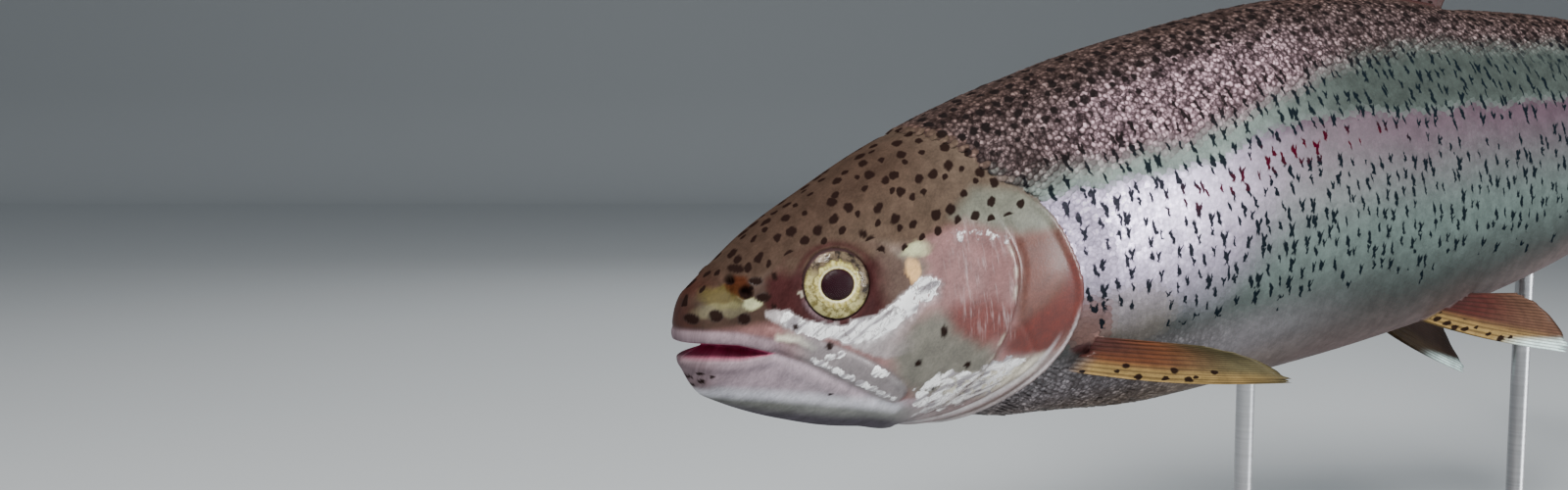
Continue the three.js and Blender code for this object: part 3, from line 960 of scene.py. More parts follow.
    def cheek(self) -> None:
        """The skin round the eye and the bright bones under it."""
        x, z = wobble(self.x, self.z, 0.45, 2.3)
        temple = inside(x, z, ((40, 13.2), (50, 11.5), (54, 6), (51, 1), (42, -2)), 4)
        self.lay(temple, Tone.TEMPLE)
        socket = inside(x, z, ROUND_EYE, 2)
        self.lay(socket, Tone.SOCKET)
        self.lay(0.85 * socket * smooth(z, 8.5, 12), Tone.BROW)
        self.lay(0.45 * socket * smooth(x, 40, 46), Tone.TEMPLE)
        eye = EyePlace()
        reach = np.hypot(self.x - eye.at, self.z - eye.height)
        self.lay(0.75 * bump(reach - 8.9, 1.1) * smooth(self.z, 6, 11), Tone.SOCKET)
        crescent = bump(reach - 8.1, 0.9) * smooth(self.x, 32, 27) * smooth(self.z, 5, 2)
        self.lay(0.6 * crescent, Tone.LIP)
        # painted glint: a small cream spot at the front corner of the eye
        self.lay(0.35 * blob(x, z, (24.7, 5.4), (0.6, 0.8)), Tone.CREAM)
        cheek = inside(x, z, JOWL, 6)
        self.lay(cheek, Tone.CHEEK)
        yellow = blob(x, z, (9.4, 7.0), (4.4, 2.7))
        self.lay(yellow * 0.9, Tone.YELLOW)
        mint = 0.75 * blob(x, z, (14.4, 4.6), (1.9, 1.3)) + 0.15 * blob(x, z, (8.5, 4.4), (6, 1.8))
        self.lay(np.clip(mint, 0, 1), Tone.MINT)
        flap = blob(x, z, (12.9, 8.6), (2.3, 2.5))
        self.lay(flap * 0.9, Tone.NOSTRIL)
        self.dull += flap + 0.9 * socket + 0.5 * temple
        band = inside(x, z, rounded(UNDER_EYE, closed=True, steps=3), 0.8)
        top, _ = line_distance(x, z, rounded(UNDER_EYE[:7], steps=3))
        bright = band * smooth(x, 14, 24) * smooth(top, 7.5, 3.0)
        self.lay(band * smooth(x, 50, 40), Tone.PLATE)
        # the bright silvery bones under the eye: their white is partly their own and partly a painted
        # reflection
        self.lay(0.4 * bright, Tone.FOIL)
        veins = bump(np.sin(self.x * 0.9 + 1.8 * np.sin(self.z * 0.8)), 0.5) * smooth(x, 43, 48)
        self.lay(0.6 * bright * veins, Tone.GILL)
        self.lay(stroke(x, z, ((18.5, -3.2), (22, -4.4), (26, -6.8)), 1.2), Tone.CREAM)
        self.silver = np.maximum(self.silver, 0.35 * bright)
        self.foil += bright * (1 - 0.5 * veins)
        mint_mark = blob(x, z, (52.2, 10.2), (4.4, 1.6))
        self.lay(mint_mark * 0.9, Tone.MINT)
        self.lay(blob(x, z, (50.2, 5.6), (1.7, 3.0)), Tone.AMBER)
        rosy = inside(x, z, ((55, 12), (65, 14), (76, 9.5), (76, -4), (73, -14), (62, -11), (54, 0)), 5)
        self.lay(rosy * (1 - 0.9 * bright), Tone.GILL)
        flush = inside(x, z, ((57, -4), (65, -3), (73, -7), (73, -14), (65, -14.5), (58, -10)), 5)
        self.lay(flush * 0.9, Tone.BLUSH)
        self.density *= 1 - np.clip(bright + socket + rosy + mint_mark, 0, 1)
        # mask of the painted highlight streaks on the rosy cheek
        self.streak += rosy * smooth(x, 56, 64) * (1 - bright)
        self.foil += inside(x, z, ((62, 14.5), (76, 11), (76, 5), (66, 9), (58, 10)), 3) * 0.55
        self.foil += inside(x, z, LOW_FOIL, 4) * 0.68
        self.silver += 0.25 * cheek + 0.15 * rosy
        self.grain += 0.4 * bright
        for at, height, size, tall in HEAD_SPOTS:
            self.inked += smooth(np.hypot((self.x - at) / size, (self.z - height) / tall), 1.15, 0.85)
        for at, height, size in Relief().nostrils:
            hole = smooth(np.hypot(self.x - at, self.z - height), size * 1.15, size * 0.75)
            self.inked += hole
            self.dull += hole

    def cover(self) -> None:
        """The gill cover behind the cheek, with its red edge and its pale rim drawn as painted highlight
        lines.
        """
        x, z = wobble(self.x, self.z, 0.4, 3.2)
        behind = Relief.behind(self.x, self.z)
        whole = ((75, 9), (88, 9), (93.5, -4), (92, -16), (80, -22), (74, -16), (74.5, 0))
        plate = inside(x, z, whole, 4) * ~behind
        self.lay(plate, Tone.COVER)
        pale = inside(x, z, ((76, 8), (86, 6), (87, -2), (82, -8), (76, -11)), 4) * ~behind
        self.lay(0.2 * pale, Tone.GILL)
        red = inside(x, z, rounded(RED_EDGE, closed=True, steps=3), 4.0) * ~behind
        self.lay(red * 0.95, Tone.RED)
        self.density *= 1 - np.clip(plate + red, 0, 1)
        low = inside(x, z, COVER_LOW, 4) * ~behind
        self.lay(low * 0.7, Tone.PLATE)
        seam = ((56, -21), (64, -22), (74, -21), (82, -21), (79, -25), (70, -28), (58, -28))
        self.lay(inside(x, z, seam, 4) * ~behind * 0.75, Tone.CREAM)
        edge, share = line_distance(self.x, self.z, GILL_EDGE)
        # painted highlights: two thin bright lines along the cover's low free edge, with a line of breast
        # colour between them
        rim = bump(edge - 0.8, 0.9) * ~behind * smooth(self.z, -9, -16)
        self.lay(rim * 0.45, Tone.FOIL)
        second = bump(edge - 3.6, 1.0) * ~behind * smooth(self.z, -15, -21)
        self.lay(second * 0.4, Tone.FOIL)
        self.lay(0.45 * bump(edge - 2.0, 0.9) * ~behind * smooth(self.z, -14, -19), Tone.BREAST)
        # painted highlight: a broken cream line along the raised ridge of the preopercle
        broken = smooth(np.sin(0.9 * self.z + 2 * np.sin(0.37 * self.z)), -0.6, 0.5)
        crest_highlight = broken * stroke(self.x, self.z, PREOPERCLE, 0.9)
        crest_highlight = crest_highlight * smooth(self.z, 10, 5) * smooth(self.z, -24, -16)
        self.lay(0.35 * crest_highlight, Tone.CREAM)
        # painted shadow in the slot just behind the gill cover's free edge
        slot_shadow = np.where(behind, smooth(edge, 1.5, 0.2), 0) * smooth(share, 0.05, 0.15)
        self.lay(slot_shadow * 0.75, Tone.BREAST)
        # painted shade behind the cover, over the breast, with the silver dulled there
        shaded = blob(x, z, (104, -17), (17, 9)) * behind
        self.lay(shaded * 0.5, Tone.BREAST)
        self.silver *= 1 - 0.5 * shaded
        # reddish painted shade near the root of the pectoral fin
        shade_wash = blob(x, z, (94, -16), (7, 7)) * behind
        self.lay(shade_wash * 0.5, Tone.BLUSH)
        # painted shade: a dark patch at the root of the pectoral fin, where it leaves the body
        self.lay(blob(x, z, (95, -22.6), (4.5, 1.5)) * behind, Tone.SOCKET)
        self.silver += 0.1 * plate + 0.3 * low + 0.2 * rim

    def jaws(self) -> None:
        """The lips, the mouth and the lower jaw."""
        x, z = self.x, self.z
        lip, jaw = follow(x, LIP_LINE), follow(x, JAW_LINE)
        line = np.where(x < 17.5, jaw, follow(x, CREASE))
        under = smooth(z, line + 0.3, line - 0.3) * smooth(x, 58, 44)
        upper = smooth(z, follow(x, UPPER_LIP) + 0.9, follow(x, UPPER_LIP) - 0.5) * smooth(x, 26, 16)
        self.lay(upper * (1 - under), Tone.LIP)
        self.lay(under, Tone.JAW)
        top = follow(x, ((0, -13), (15, -18.8), (35, -25), (60, -31.4)))
        deep = follow(x, ((0, -16), (15, -22.2), (35, -28.2), (60, -34.4)))
        self.lay(under * smooth(z, top + 3.4, top + 0.8), Tone.JAW_GREY)
        # painted shade: the jaw's underside darkens towards its lowest edge
        self.lay(under * smooth(z, top, deep), Tone.JAW_UNDER)
        # painted highlight: a pale streak along the side of the lower jaw
        pale = stroke(x, z, ((2.7, -13.7), (15, -16.4), (26, -19.6), (37, -23.1), (46, -25.9)), 2.5)
        self.lay(0.9 * under * pale, Tone.JAW_PALE)
        tip = under * smooth(x, 7.5, 2.5) * smooth(z, -15, -12)
        self.lay(tip, Tone.JAW_TIP)
        gap = smooth(z, lip + 0.25, lip - 0.35) * smooth(z, jaw - 0.25, jaw + 0.35) * (x < MOUTH_END)
        self.lay(gap, Tone.MOUTH)
        maxilla = inside(x, z, MAXILLA, 1)
        self.lay(maxilla * smooth(x, 18, 26) * 0.85, Tone.MAXILLA)
        # painted shade along the groove over the maxilla's top edge
        self.lay(0.35 * stroke(x, z, MAXILLA_TOP, 0.7), Tone.SOCKET)
        crumbs = bump(line_distance(x, z, CREASE)[0] - 1.4, 1.9) * smooth(x, 22, 27)
        patches = blob(x, z, (41, -15.6), (3.4, 1.8)) + blob(x, z, (30.2, -9.6), (3.0, 1.1))
        crumbs = np.maximum(crumbs, patches)
        self.foil += maxilla * (0.3 + 0.42 * crumbs) * smooth(x, 18, 24) + 0.1 * tip
        self.density *= 1 - np.clip(under + upper + gap + maxilla, 0, 1)
        self.lay(0.6 * under * smooth(x, 20, 8) * smooth(z, -14, -9), Tone.LIP)
        self.silver = self.silver * (1 - under) + 0.15 * under + 0.12 * maxilla
        self.dull *= 1 - under
        self.dull += 0.8 * upper + under * smooth(z, top + 2, deep) + 0.4 * under * smooth(x, 22, 10)
        self.silver *= 1 - gap

    def dress(self, mesh: Mesh, flat: Rows) -> None:
        """Stores the colours and masks on a mesh.

        Args:
            mesh: The mesh, with a vertex for each point.
            flat: Each point unrolled over the skin, in millimetres, and its own tint.
        """
        one = np.ones(len(self.x))
        for name, values in {
            "tone": [self.tone, one],
            "ink": [self.ink, one],
            "marks": [self.density, self.slash, self.foil, one],
            "sheen": [self.silver, self.grain, self.dull, one],
        }.items():
            put(mesh, name, "FLOAT_COLOR", np.clip(np.column_stack(values), 0, 1))
        touch = np.column_stack([self.streak, self.inked, self.rim])
        put(mesh, "touch", "FLOAT_VECTOR", np.clip(touch, 0, 1))
        put(mesh, "flat", "FLOAT_VECTOR", flat)


def fin_paint(coat: Coat, fin: Rows, right: Row) -> None:
    """Colours the vertices that belong to a fin, over what the body gave them.

    Args:
        coat: The colours of the whole skin.
        fin: Each vertex's fin, and its place across and out along it.
        right: Whether it is on the right flank.
    """
    kind, ray, out = np.round(fin[:, 0]).astype(int), fin[:, 1], fin[:, 2]
    paired = (kind == Fin.PECTORAL) | (kind == Fin.PELVIC)
    on = smooth(out, 0, np.where(paired, 0.1, 0.16)) * (kind > 0)
    coat.rim = np.where(kind > 0, ray, 0)
    looks = {
        Fin.DORSAL: (Tone.FIN_DORSAL, Tone.FIN_OLIVE, 0.95),
        Fin.ADIPOSE: (Tone.FIN_OLIVE, Tone.RIDGE, 0.5),
        Fin.ANAL: (Tone.FIN_RED, Tone.FIN_BROWN, 0.0),
        Fin.TAIL: (Tone.FIN_OLIVE, Tone.FIN_BROWN, 0.95),
        Fin.PECTORAL: (Tone.FIN_ORANGE, Tone.FIN_OLIVE, 0.0),
        Fin.PELVIC: (Tone.FIN_RED, Tone.FIN_BROWN, 0.0),
    }
    for which, (first, second, spots) in looks.items():
        here = on * (kind == which)
        coat.lay(here, first)
        coat.lay(here * smooth(out - 0.25 * ray, 0.2, 0.72), second)
        coat.density = np.where(kind == which, spots * smooth(out, 0.02, 0.1), coat.density)
        coat.slash = np.where(kind == which, 0.0, coat.slash)
        coat.clear(here, "silver", "grain", "foil", "streak", "inked")
        coat.dull = np.where(kind == which, 0.85, coat.dull)
    pelvic = on * (kind == Fin.PELVIC)
    coat.lay(paired * smooth(out, 0.5, 0.1) * smooth(ray, 0.35, 0.8) * 0.85, Tone.SOCKET)
    leading = on * paired * smooth(ray + 0.12 * out, 0.48, 0.2)
    coat.lay(leading * smooth(out, 1.05, 0.75), Tone.FIN_YELLOW)
    coat.density = np.maximum(coat.density, 0.95 * leading * smooth(out, 0.75, 0.55))
    # painted shade: the right pelvic fin, on the far side, darkened nearly to black and left without spots
    coat.lay(pelvic * right * 0.9, Tone.FIN_DARK)
    coat.density *= 1 - pelvic * right
    pale = (pelvic + on * (kind == Fin.ANAL)) * smooth(ray + 0.35 * (1 - out), 0.3, 0.16)
    coat.lay(pale * smooth(out, 0.55, 0.8), Tone.FIN_PALE)
    dark = on * (kind == Fin.ADIPOSE) * smooth(out, 0.8, 0.93)
    coat.lay(dark, Tone.INK_HEAD)
    coat.lay_ink(on, Tone.INK_HEAD)


FIN_TINT = 2.0


@dataclass
class Skin:
    """The one skin of body, head and fins, which stands for every solid of flesh."""

    form: Form
    relief: Relief
    columns: int = 262
    rows: int = 160
    head_end: float = 95.0
    head_share: float = 1.7
    head_inset: float = 0.3
    trunk_inset: float = 0.55

    def stations(self) -> tuple[Row, Row]:
        """Evenly spread distances along the body, closer together on the head.

        Returns:
            The share of the columns used so far, and the distance that it reaches.
        """
        turn = np.linspace(0, np.pi / 2, 60)
        nose = self.form.nose_round * (1 - np.cos(turn))
        rump = self.form.length - self.form.rump_round * (1 - np.cos(turn[::-1]))
        x = np.concatenate([nose, np.linspace(nose[-1], rump[0], 900)[1:-1], rump])
        flank_and_ridge = (self.form.surface(x, np.full(len(x), angle)) for angle in (0, np.pi / 2))
        legs = np.maximum(*(np.linalg.norm(np.diff(line, axis=0), axis=1) for line in flank_and_ridge))
        legs = legs * np.where(x[1:] < self.head_end, self.head_share, 1.0)
        share = np.concatenate([[0], np.cumsum(legs)])
        return share / share[-1], x

    def body(self) -> BMesh:
        """Wraps a grid round the straight body, twice as fine on the head.

        Returns:
            The closed body, each vertex with its distance along and angle round.
        """
        share, along = self.stations()
        split = 2 * float(np.interp(self.head_end + 2, along, share)) - 1
        bm = bmesh.new()
        bmesh.ops.create_grid(bm, x_segments=self.columns, y_segments=self.rows, size=1)
        head = [e for e in bm.edges if max(v.co.x for v in e.verts) < split]
        bmesh.ops.subdivide_edges(bm, edges=head, cuts=1, use_grid_fill=True)
        layer = bm.verts.layers.float_vector.new("wrap")
        bm.verts.layers.float_vector.new("fin")
        flat = np.array([v.co[:2] for v in bm.verts])
        x = np.interp((flat[:, 0] + 1) / 2, share, along)
        angle = np.pi / 2 + np.pi * flat[:, 1]
        placed = self.shaped(x, angle)
        for v, p, a, b in zip(bm.verts, placed, x, angle):
            v.co = Vector(p)
            v[layer] = Vector((a, b, 0))
        bmesh.ops.remove_doubles(bm, verts=bm.verts, dist=2e-4)
        bmesh.ops.recalc_face_normals(bm, faces=bm.faces)
        return bm

    def shaped(self, x: Row, angle: Row) -> Rows:
        """The skin's straight points, with the head's relief worked into them."""
        on_head = smooth(x, self.head_end + 8, self.head_end - 14)
        grow = -self.trunk_inset + (self.trunk_inset - self.head_inset) * on_head
        grow *= self.form.closing(x)
        base = self.relief.snapped(self.form.surface(x, angle, grow))
        normal = self.form.normals(x, angle)
        z = base[:, 2]
        rise = np.where(x < self.head_end + 14, self.relief.plates(x, z) - self.relief.pits(x, z), 0)
        rise *= self.form.closing(x)
        rise += self.relief.socket(self.relief.eye_reach(base)) * (x < EYE_AREA_END)
        return base + normal * rise[:, None] + self.relief.mouth(base)

    def build(self) -> Object:
        """Joins the fins to the body, dresses the skin and poses it.

        Returns:
            The finished skin.
        """
        body = as_object("fish_skin", self.body())
        blades = bmesh.new()
        for shape in FINS:
            part = shape.mesh()
            piece = bpy.data.meshes.new("blade")
            part.to_mesh(piece)
            part.free()
            blades.from_mesh(piece)
            bpy.data.meshes.remove(piece)
        fins = as_object("fins", blades)
        union = body.modifiers.new("fins", "BOOLEAN")
        union.operation, union.solver, union.object = "UNION", "MANIFOLD", fins
        view = bpy.context.evaluated_depsgraph_get()
        skin = bpy.data.meshes.new_from_object(body.evaluated_get(view))
        body.modifiers.remove(union)
        skin.materials.clear()
        body.data = skin
        bpy.data.objects.remove(fins)
        self.soften(skin)
        self.dress(skin)
        return body

    def soften(self, mesh: Mesh) -> None:
        """Rounds the corner where each fin leaves the body."""
        bm = bmesh.new()
        bm.from_mesh(mesh)
        fin = bm.verts.layers.float_vector["fin"]
        wrap = bm.verts.layers.float_vector["wrap"]
        near = {v for v in bm.verts if v[fin].x == 0 and v[wrap].length_squared < 1e-9 and v.co.x > 50}
        for _ in range(3):
            near |= {e.other_vert(v) for v in near for e in v.link_edges}
        for _ in range(4):
            bmesh.ops.smooth_vert(
                bm, verts=list(near), factor=0.5, use_axis_x=True, use_axis_y=True, use_axis_z=True
            )
        bmesh.ops.triangulate(bm, faces=[f for f in bm.faces if len(f.verts) > 4])
        bm.to_mesh(mesh)
        bm.free()
        shade(mesh, True)

    def dress(self, mesh: Mesh) -> None:
        """Colours the straight skin, lays out its baking map and poses it."""
        points, wrap, fin = (taken(mesh, name) for name in ("position", "wrap", "fin"))
        lost = (np.abs(wrap).sum(axis=1) < 1e-6) | (fin[:, 0] > 0)
        x = np.where(lost, np.clip(points[:, 0], 0, self.form.length), wrap[:, 0])
        angle = np.where(lost, self.form.around(points), wrap[:, 1])
        plain = self.form.surface(x, angle)
        girth = self.form.girth_of(x, angle)
        full = self.form.girth_of(x, np.full(len(x), -np.pi / 2))
        coat = Coat(x, np.where(lost, points[:, 2], plain[:, 2]), np.abs(girth), full)
        fin_paint(coat, fin, points[:, 1] > 0)
        flat = np.column_stack([x, girth, np.full(len(x), 0.5)])
        wide = np.zeros(len(x))
        for shape in FINS:
            wide[np.round(fin[:, 0]) == shape.fin] = shape.width()
        across = 500 + 100 * fin[:, 0] + wide * fin[:, 1]
        down = np.sign(points[:, 1]) * 3 + 60 * fin[:, 2]
        on_fin = fin[:, 0] > 0
        flat[on_fin] = np.column_stack([across, down, np.full(len(x), FIN_TINT)])[on_fin]
        coat.dress(mesh, flat)
        self.baking_map(mesh, x, angle, fin)
        move_to(mesh, self.form.posed(points))

    def baking_map(self, mesh: Mesh, x: Row, angle: Row, fin: Rows) -> None:
        """Unrolls the body over most of the square, with a strip beside it for each fin face."""
        layer = mesh.uv_layers.new(name="OFBake")
        corner = listed(mesh.loops, "vertex_index")
        faces = len(mesh.polygons)
        face = np.repeat(np.arange(faces), listed(mesh.polygons, "loop_total"))
        turn = body_share(angle)[corner]
        low, high = np.full(faces, 9.0), np.full(faces, -9.0)
        np.minimum.at(low, face, turn)
        np.maximum.at(high, face, turn)
        wraps = (high - low)[face] > 0.5
        turn = np.where(wraps & (turn < 0.5), turn + 1, turn)
        uv = unrolled(x[corner] / self.form.length, turn)
        kind, ray, out = fin[corner].T
        strip = np.column_stack([(kind - 0.95 + 0.9 * ray) / len(Fin), 0.82 + 0.16 * out])
        uv = np.where((kind > 0)[:, None], strip, uv)
        most = np.zeros(faces)
        np.maximum.at(most, face, kind)
        root = np.column_stack([(most[face] - 0.5) / len(Fin), np.full(len(face), 0.815)])
        uv = np.where(((most[face] > 0) & (kind == 0))[:, None], root, uv)
        layer.data.foreach_set("uv", np.ascontiguousarray(uv, np.float32).ravel())


def body_share(angle: Row) -> Row:
    """Where an angle round the body falls between the belly and the belly again, 0 to 1."""
    return np.mod(angle + np.pi / 2, 2 * np.pi) / (2 * np.pi)


def unrolled(along: Row, around: Row) -> Rows:
    """Places on the baking map, for shares of the way along the body and around it."""
    return np.column_stack([along * 0.98 + 0.01, 0.02 + 0.76 * around / 1.01])


@dataclass
class Scales:
    """The scales of the trunk: thin overlapping lenses that lie back along the skin."""

    form: Form
    relief: Relief
    rows: int = 70
    stretch: float = 1.12
    first: float = 57.0
    last: float = 422.0
    strips: int = 4
    sunk: float = 0.5
    fin_gap: float = 2.4
    long_fin_gap: float = 6.9
    seed: int = 7

    def grid(self) -> tuple[Row, Row, Row]:
        """Spreads staggered rows of scale roots over the straight body.

        Returns:
            The roots' distances along, their angles round, and the spacing at each.
        """
        xs = [self.first]
        while xs[-1] < self.last:
            full = float(self.form.girth_of(np.array([xs[-1]]), np.array([-np.pi / 2]))[0])
            xs.append(xs[-1] + self.stretch * full / self.rows)
        rings = []
        turns = self.form.girth_angle
        for k, x in enumerate(xs):
            reach = self.form.girth_of(np.full(len(turns), x), turns)
            shares = (np.arange(self.rows) + (0.5 if k % 2 else 0.0)) / self.rows
            angle = np.interp(shares * reach[-1], reach, turns)
            both = np.concatenate([angle, np.pi - angle[shares > 1e-6]])
            rings.append(np.broadcast_arrays(x, both, reach[-1] / self.rows))
        along, around, space = (np.concatenate(column) for column in zip(*rings))
        return along, around, space

    def lens(self) -> tuple[Rows, Rows]:
        """One scale of half sizes 1: its vertices, and its triangles' corners."""
        bm = bmesh.new()
        bmesh.ops.create_uvsphere(bm, u_segments=8, v_segments=2, radius=1)
        bmesh.ops.triangulate(bm, faces=bm.faces)
        shape = np.array([v.co[:] for v in bm.verts])
        corners = np.array([[v.index for v in f.verts] for f in bm.faces])
        bm.free()
        return shape, corners

    def kept(self, x: Row, angle: Row) -> Row:
        """Where scales grow: behind the head and the gill covers, and clear of the fins."""
        place = self.form.surface(x, angle)
        z = place[:, 2]
        nape, gill = follow_by_height(z, NAPE_EDGE) + 1.2, follow_by_height(z, GILL_EDGE) + 1.6
        keep = x > np.where(z > NAPE_FOOT, nape, gill)
        for shape in FINS:
            a, b = (np.array(point, float) for point in shape.root)
            t = np.clip((place - a) @ (b - a) / ((b - a) @ (b - a)), 0, 1)
            gap = place - a - t[:, None] * (b - a)
            clear = self.long_fin_gap if shape.fin in (Fin.DORSAL, Fin.ANAL) else self.fin_gap
            keep &= np.linalg.norm(gap, axis=1) > clear
        return keep

    def build(self) -> list[Object]:
        """Makes the scales as a few joined meshes, one for each strip of the body.

        Returns:
            The finished pieces.
        """
        dice = np.random.default_rng(self.seed)
        x, angle, space = self.grid()
        keep = self.kept(x, angle)
        x, angle, space = x[keep], angle[keep], space[keep]
        count = len(x)
        x = x + dice.normal(0, 0.07, count) * space
        angle = angle + dice.normal(0, 0.0012, count) * space
        girth = self.form.girth_of(x, angle)
        full = self.form.girth_of(x, np.full(count, -np.pi / 2))
        coat = Coat(x, self.form.surface(x, angle)[:, 2], np.abs(girth), full)
        tint = dice.random(count)
        rough = coat.grain
        normal = self.form.normals(x, angle)
        step = 0.4
        back = self.form.surface(x + step, angle) - self.form.surface(x - step, angle)
        back += (self.relief_at(x + step, angle) - self.relief_at(x - step, angle))[:, None] * normal
        back = unit(back)
        side = np.cross(normal, back)
        lift = 0.035 + 0.13 * rough + dice.normal(0, 1, count) * (0.002 + 0.06 * rough)
        roll = dice.normal(0, 1, count) * (0.003 + 0.12 * rough)
        spine = unit(back + normal * lift[:, None])
        side = unit(side + normal * roll[:, None])
        sunk = -self.sunk + 0.25 * smooth(x, 103, 81)
        root = self.form.surface(x, angle, sunk) + self.relief_at(x, angle)[:, None] * normal
        size = np.column_stack([1.1 * space, 0.74 * space, (0.02 + 0.14 * rough) * space])
        shape, corners = self.lens()
        ring = (np.abs(shape[:, 2]) < 1e-6).astype(float)
        local = shape[None, :, :] * size[:, None, :]
        local[:, :, 0] += 0.25 * space[:, None]
        local[:, :, 2] += ((0.03 + 0.08 * rough) * space)[:, None]
        points = root[:, None] + local @ np.stack([spine, side, np.cross(spine, side)], axis=1)
        made = []
        for n, here in enumerate(np.array_split(np.argsort(x), self.strips)):
            piece = self.strip(n + 1, points[here], corners, ring > 0)
            chosen = [getattr(coat, name)[here] for name in ("x", "z", "girth", "full")]
            own = Coat(*[np.repeat(values, len(shape)) for values in chosen])
            along, down, own_tint = (np.repeat(values[here], len(shape)) for values in (x, girth, tint))
            along, down = along + local[here][:, :, 0].ravel(), down - local[here][:, :, 1].ravel()
            own.rim = np.tile(ring, len(here))
            own.dress(piece.data, np.column_stack([along, down, own_tint]))
            self.baking_map(piece.data, x[here], angle[here], shape)
            made.append(piece)
        return made

    def relief_at(self, x: Row, angle: Row) -> Row:
        """How far the skin under a scale is sunk by the step behind the gill cover."""
        z = self.form.surface(x, angle)[:, 2]
        return np.where(x < 109, self.relief.plates(x, z), 0)

    def strip(self, number: int, points: Rows, corners: Rows, ring: Row) -> Object:
        """Joins one strip's scales into a mesh and poses it.

        Args:
            number: The strip's number, from the head.
            points: The straight vertices of each of its scales.
            corners: The triangles of one scale.
            ring: Which of one scale's vertices lie on its rim, where its two faces meet.

        Returns:
            The strip as a new object.
        """
        count, each = points.shape[:2]
        faces = (corners[None] + each * np.arange(count)[:, None, None]).reshape(-1, 3)
        mesh = bpy.data.meshes.new(f"scales_{number}")
        mesh.vertices.add(count * each)
        mesh.loops.add(faces.size)
        mesh.polygons.add(len(faces))
        mesh.loops.foreach_set("vertex_index", faces.ravel().astype(np.int32))
        mesh.polygons.foreach_set("loop_start", np.arange(0, faces.size, 3, dtype=np.int32))
        move_to(mesh, self.form.posed(points.reshape(-1, 3)))
        shade(mesh, True)
        mesh.update(calc_edges=True)
        mesh.validate()
        pairs = np.zeros(2 * len(mesh.edges), np.int32)
        mesh.edges.foreach_get("vertices", pairs)
        mesh.edges.foreach_set("use_edge_sharp", ring[pairs.reshape(-1, 2) % each].all(axis=1))
        return linked(mesh.name, mesh)

    def baking_map(self, mesh: Mesh, x: Row, angle: Row, shape: Rows) -> None:
        """Gives each scale a patch 0.003 across at its root's place on the unrolled skin."""
        layer = mesh.uv_layers.new(name="OFBake")
        root = unrolled(x / self.form.length, body_share(angle))
        uv = (root[:, None, :] + shape[None, :, :2] * 0.0015).reshape(-1, 2)
        corner = listed(mesh.loops, "vertex_index")
        layer.data.foreach_set("uv", np.ascontiguousarray(uv[corner], np.float32).ravel())


class Side(IntEnum):
    """The two flanks, by the sign of y."""

    LEFT = -1
    RIGHT = 1


@dataclass
class Eye:
    """One eye: a ball with its iris and pupil, under a clear dome."""

    form: Form
    place: EyePlace
    side: Side
    steps: int = 96
    profile: Outline = (
        (0, 2.5), (1.2, 2.46), (2.4, 2.3), (3.0, 2.05), (3.3, 1.85), (3.42, 1.64), (3.58, 1.76), (4.0, 1.9),
        (4.7, 1.98), (5.4, 1.9), (6.1, 1.72), (6.8, 1.5), (7.4, 1.2), (7.9, 0.75), (8.2, 0.1), (7.6, -1.2),
        (5, -2.6), (0, -3.1),
    )
    dome: Outline = (
        (0, 3.15), (1.6, 3.08), (3.2, 2.86), (4.8, 2.48), (6.2, 1.98), (7.2, 1.5), (7.9, 1.02), (8.3, 0.5),
        (8.1, 0.3), (7.4, 1.14), (6.2, 1.84), (4.8, 2.34), (3.2, 2.72), (1.6, 2.94), (0, 3.01),
    )

    def lathe(self, name: str, profile: Outline, oval: float) -> Object:
        """Spins a profile round the eye's line of sight.

        Args:
            name: The piece's name.
            profile: Distances from the axis and heights along it, from pole to pole.
            oval: How much wider than tall the pupil is.

        Returns:
            The piece, set in the head.
        """
        made = as_object(name, spun(profile, self.steps, 1e-4))
        local = taken(made.data, "position")
        put(made.data, "disc", "FLOAT_VECTOR", local)
        reach = np.hypot(local[:, 0], local[:, 1])
        front = local[:, 2] > 0
        local[:, 0] *= np.where(front, 1 + (oval - 1) * smooth(reach, 5.5, 3.6), 1)
        move_to(made.data, self.form.posed(self.in_head(local)))
        if self.side == Side.RIGHT:
            made.data.flip_normals()
        return made

    def in_head(self, local: Rows) -> Rows:
        """Turns points of the eye, with z out along its sight, into straight ones."""
        e = self.place
        across, up, out = local[:, 0], local[:, 1], local[:, 2]
        cos, sin = math.cos(e.up), math.sin(e.up)
        up, out = up * cos + out * sin, out * cos - up * sin
        cos, sin = math.cos(e.forward), math.sin(e.forward)
        x = e.at + across * cos - out * sin
        y = e.out + out * cos + across * sin
        return np.column_stack([x, self.side * y, e.height + up])

    def build(self) -> None:
        """Makes the ball and its dome and lets them stand for the solid eye."""
        name = "eye_" + self.side.name.lower()
        for part, profile, oval, finish, nodes in (
            ("_ball", self.profile, 1.1, EyeFinish(), [name]),
            ("_dome", self.dome, 1.0, DomeFinish(), []),
        ):
            settle(self.lathe(name + part, profile, oval), finish, nodes)


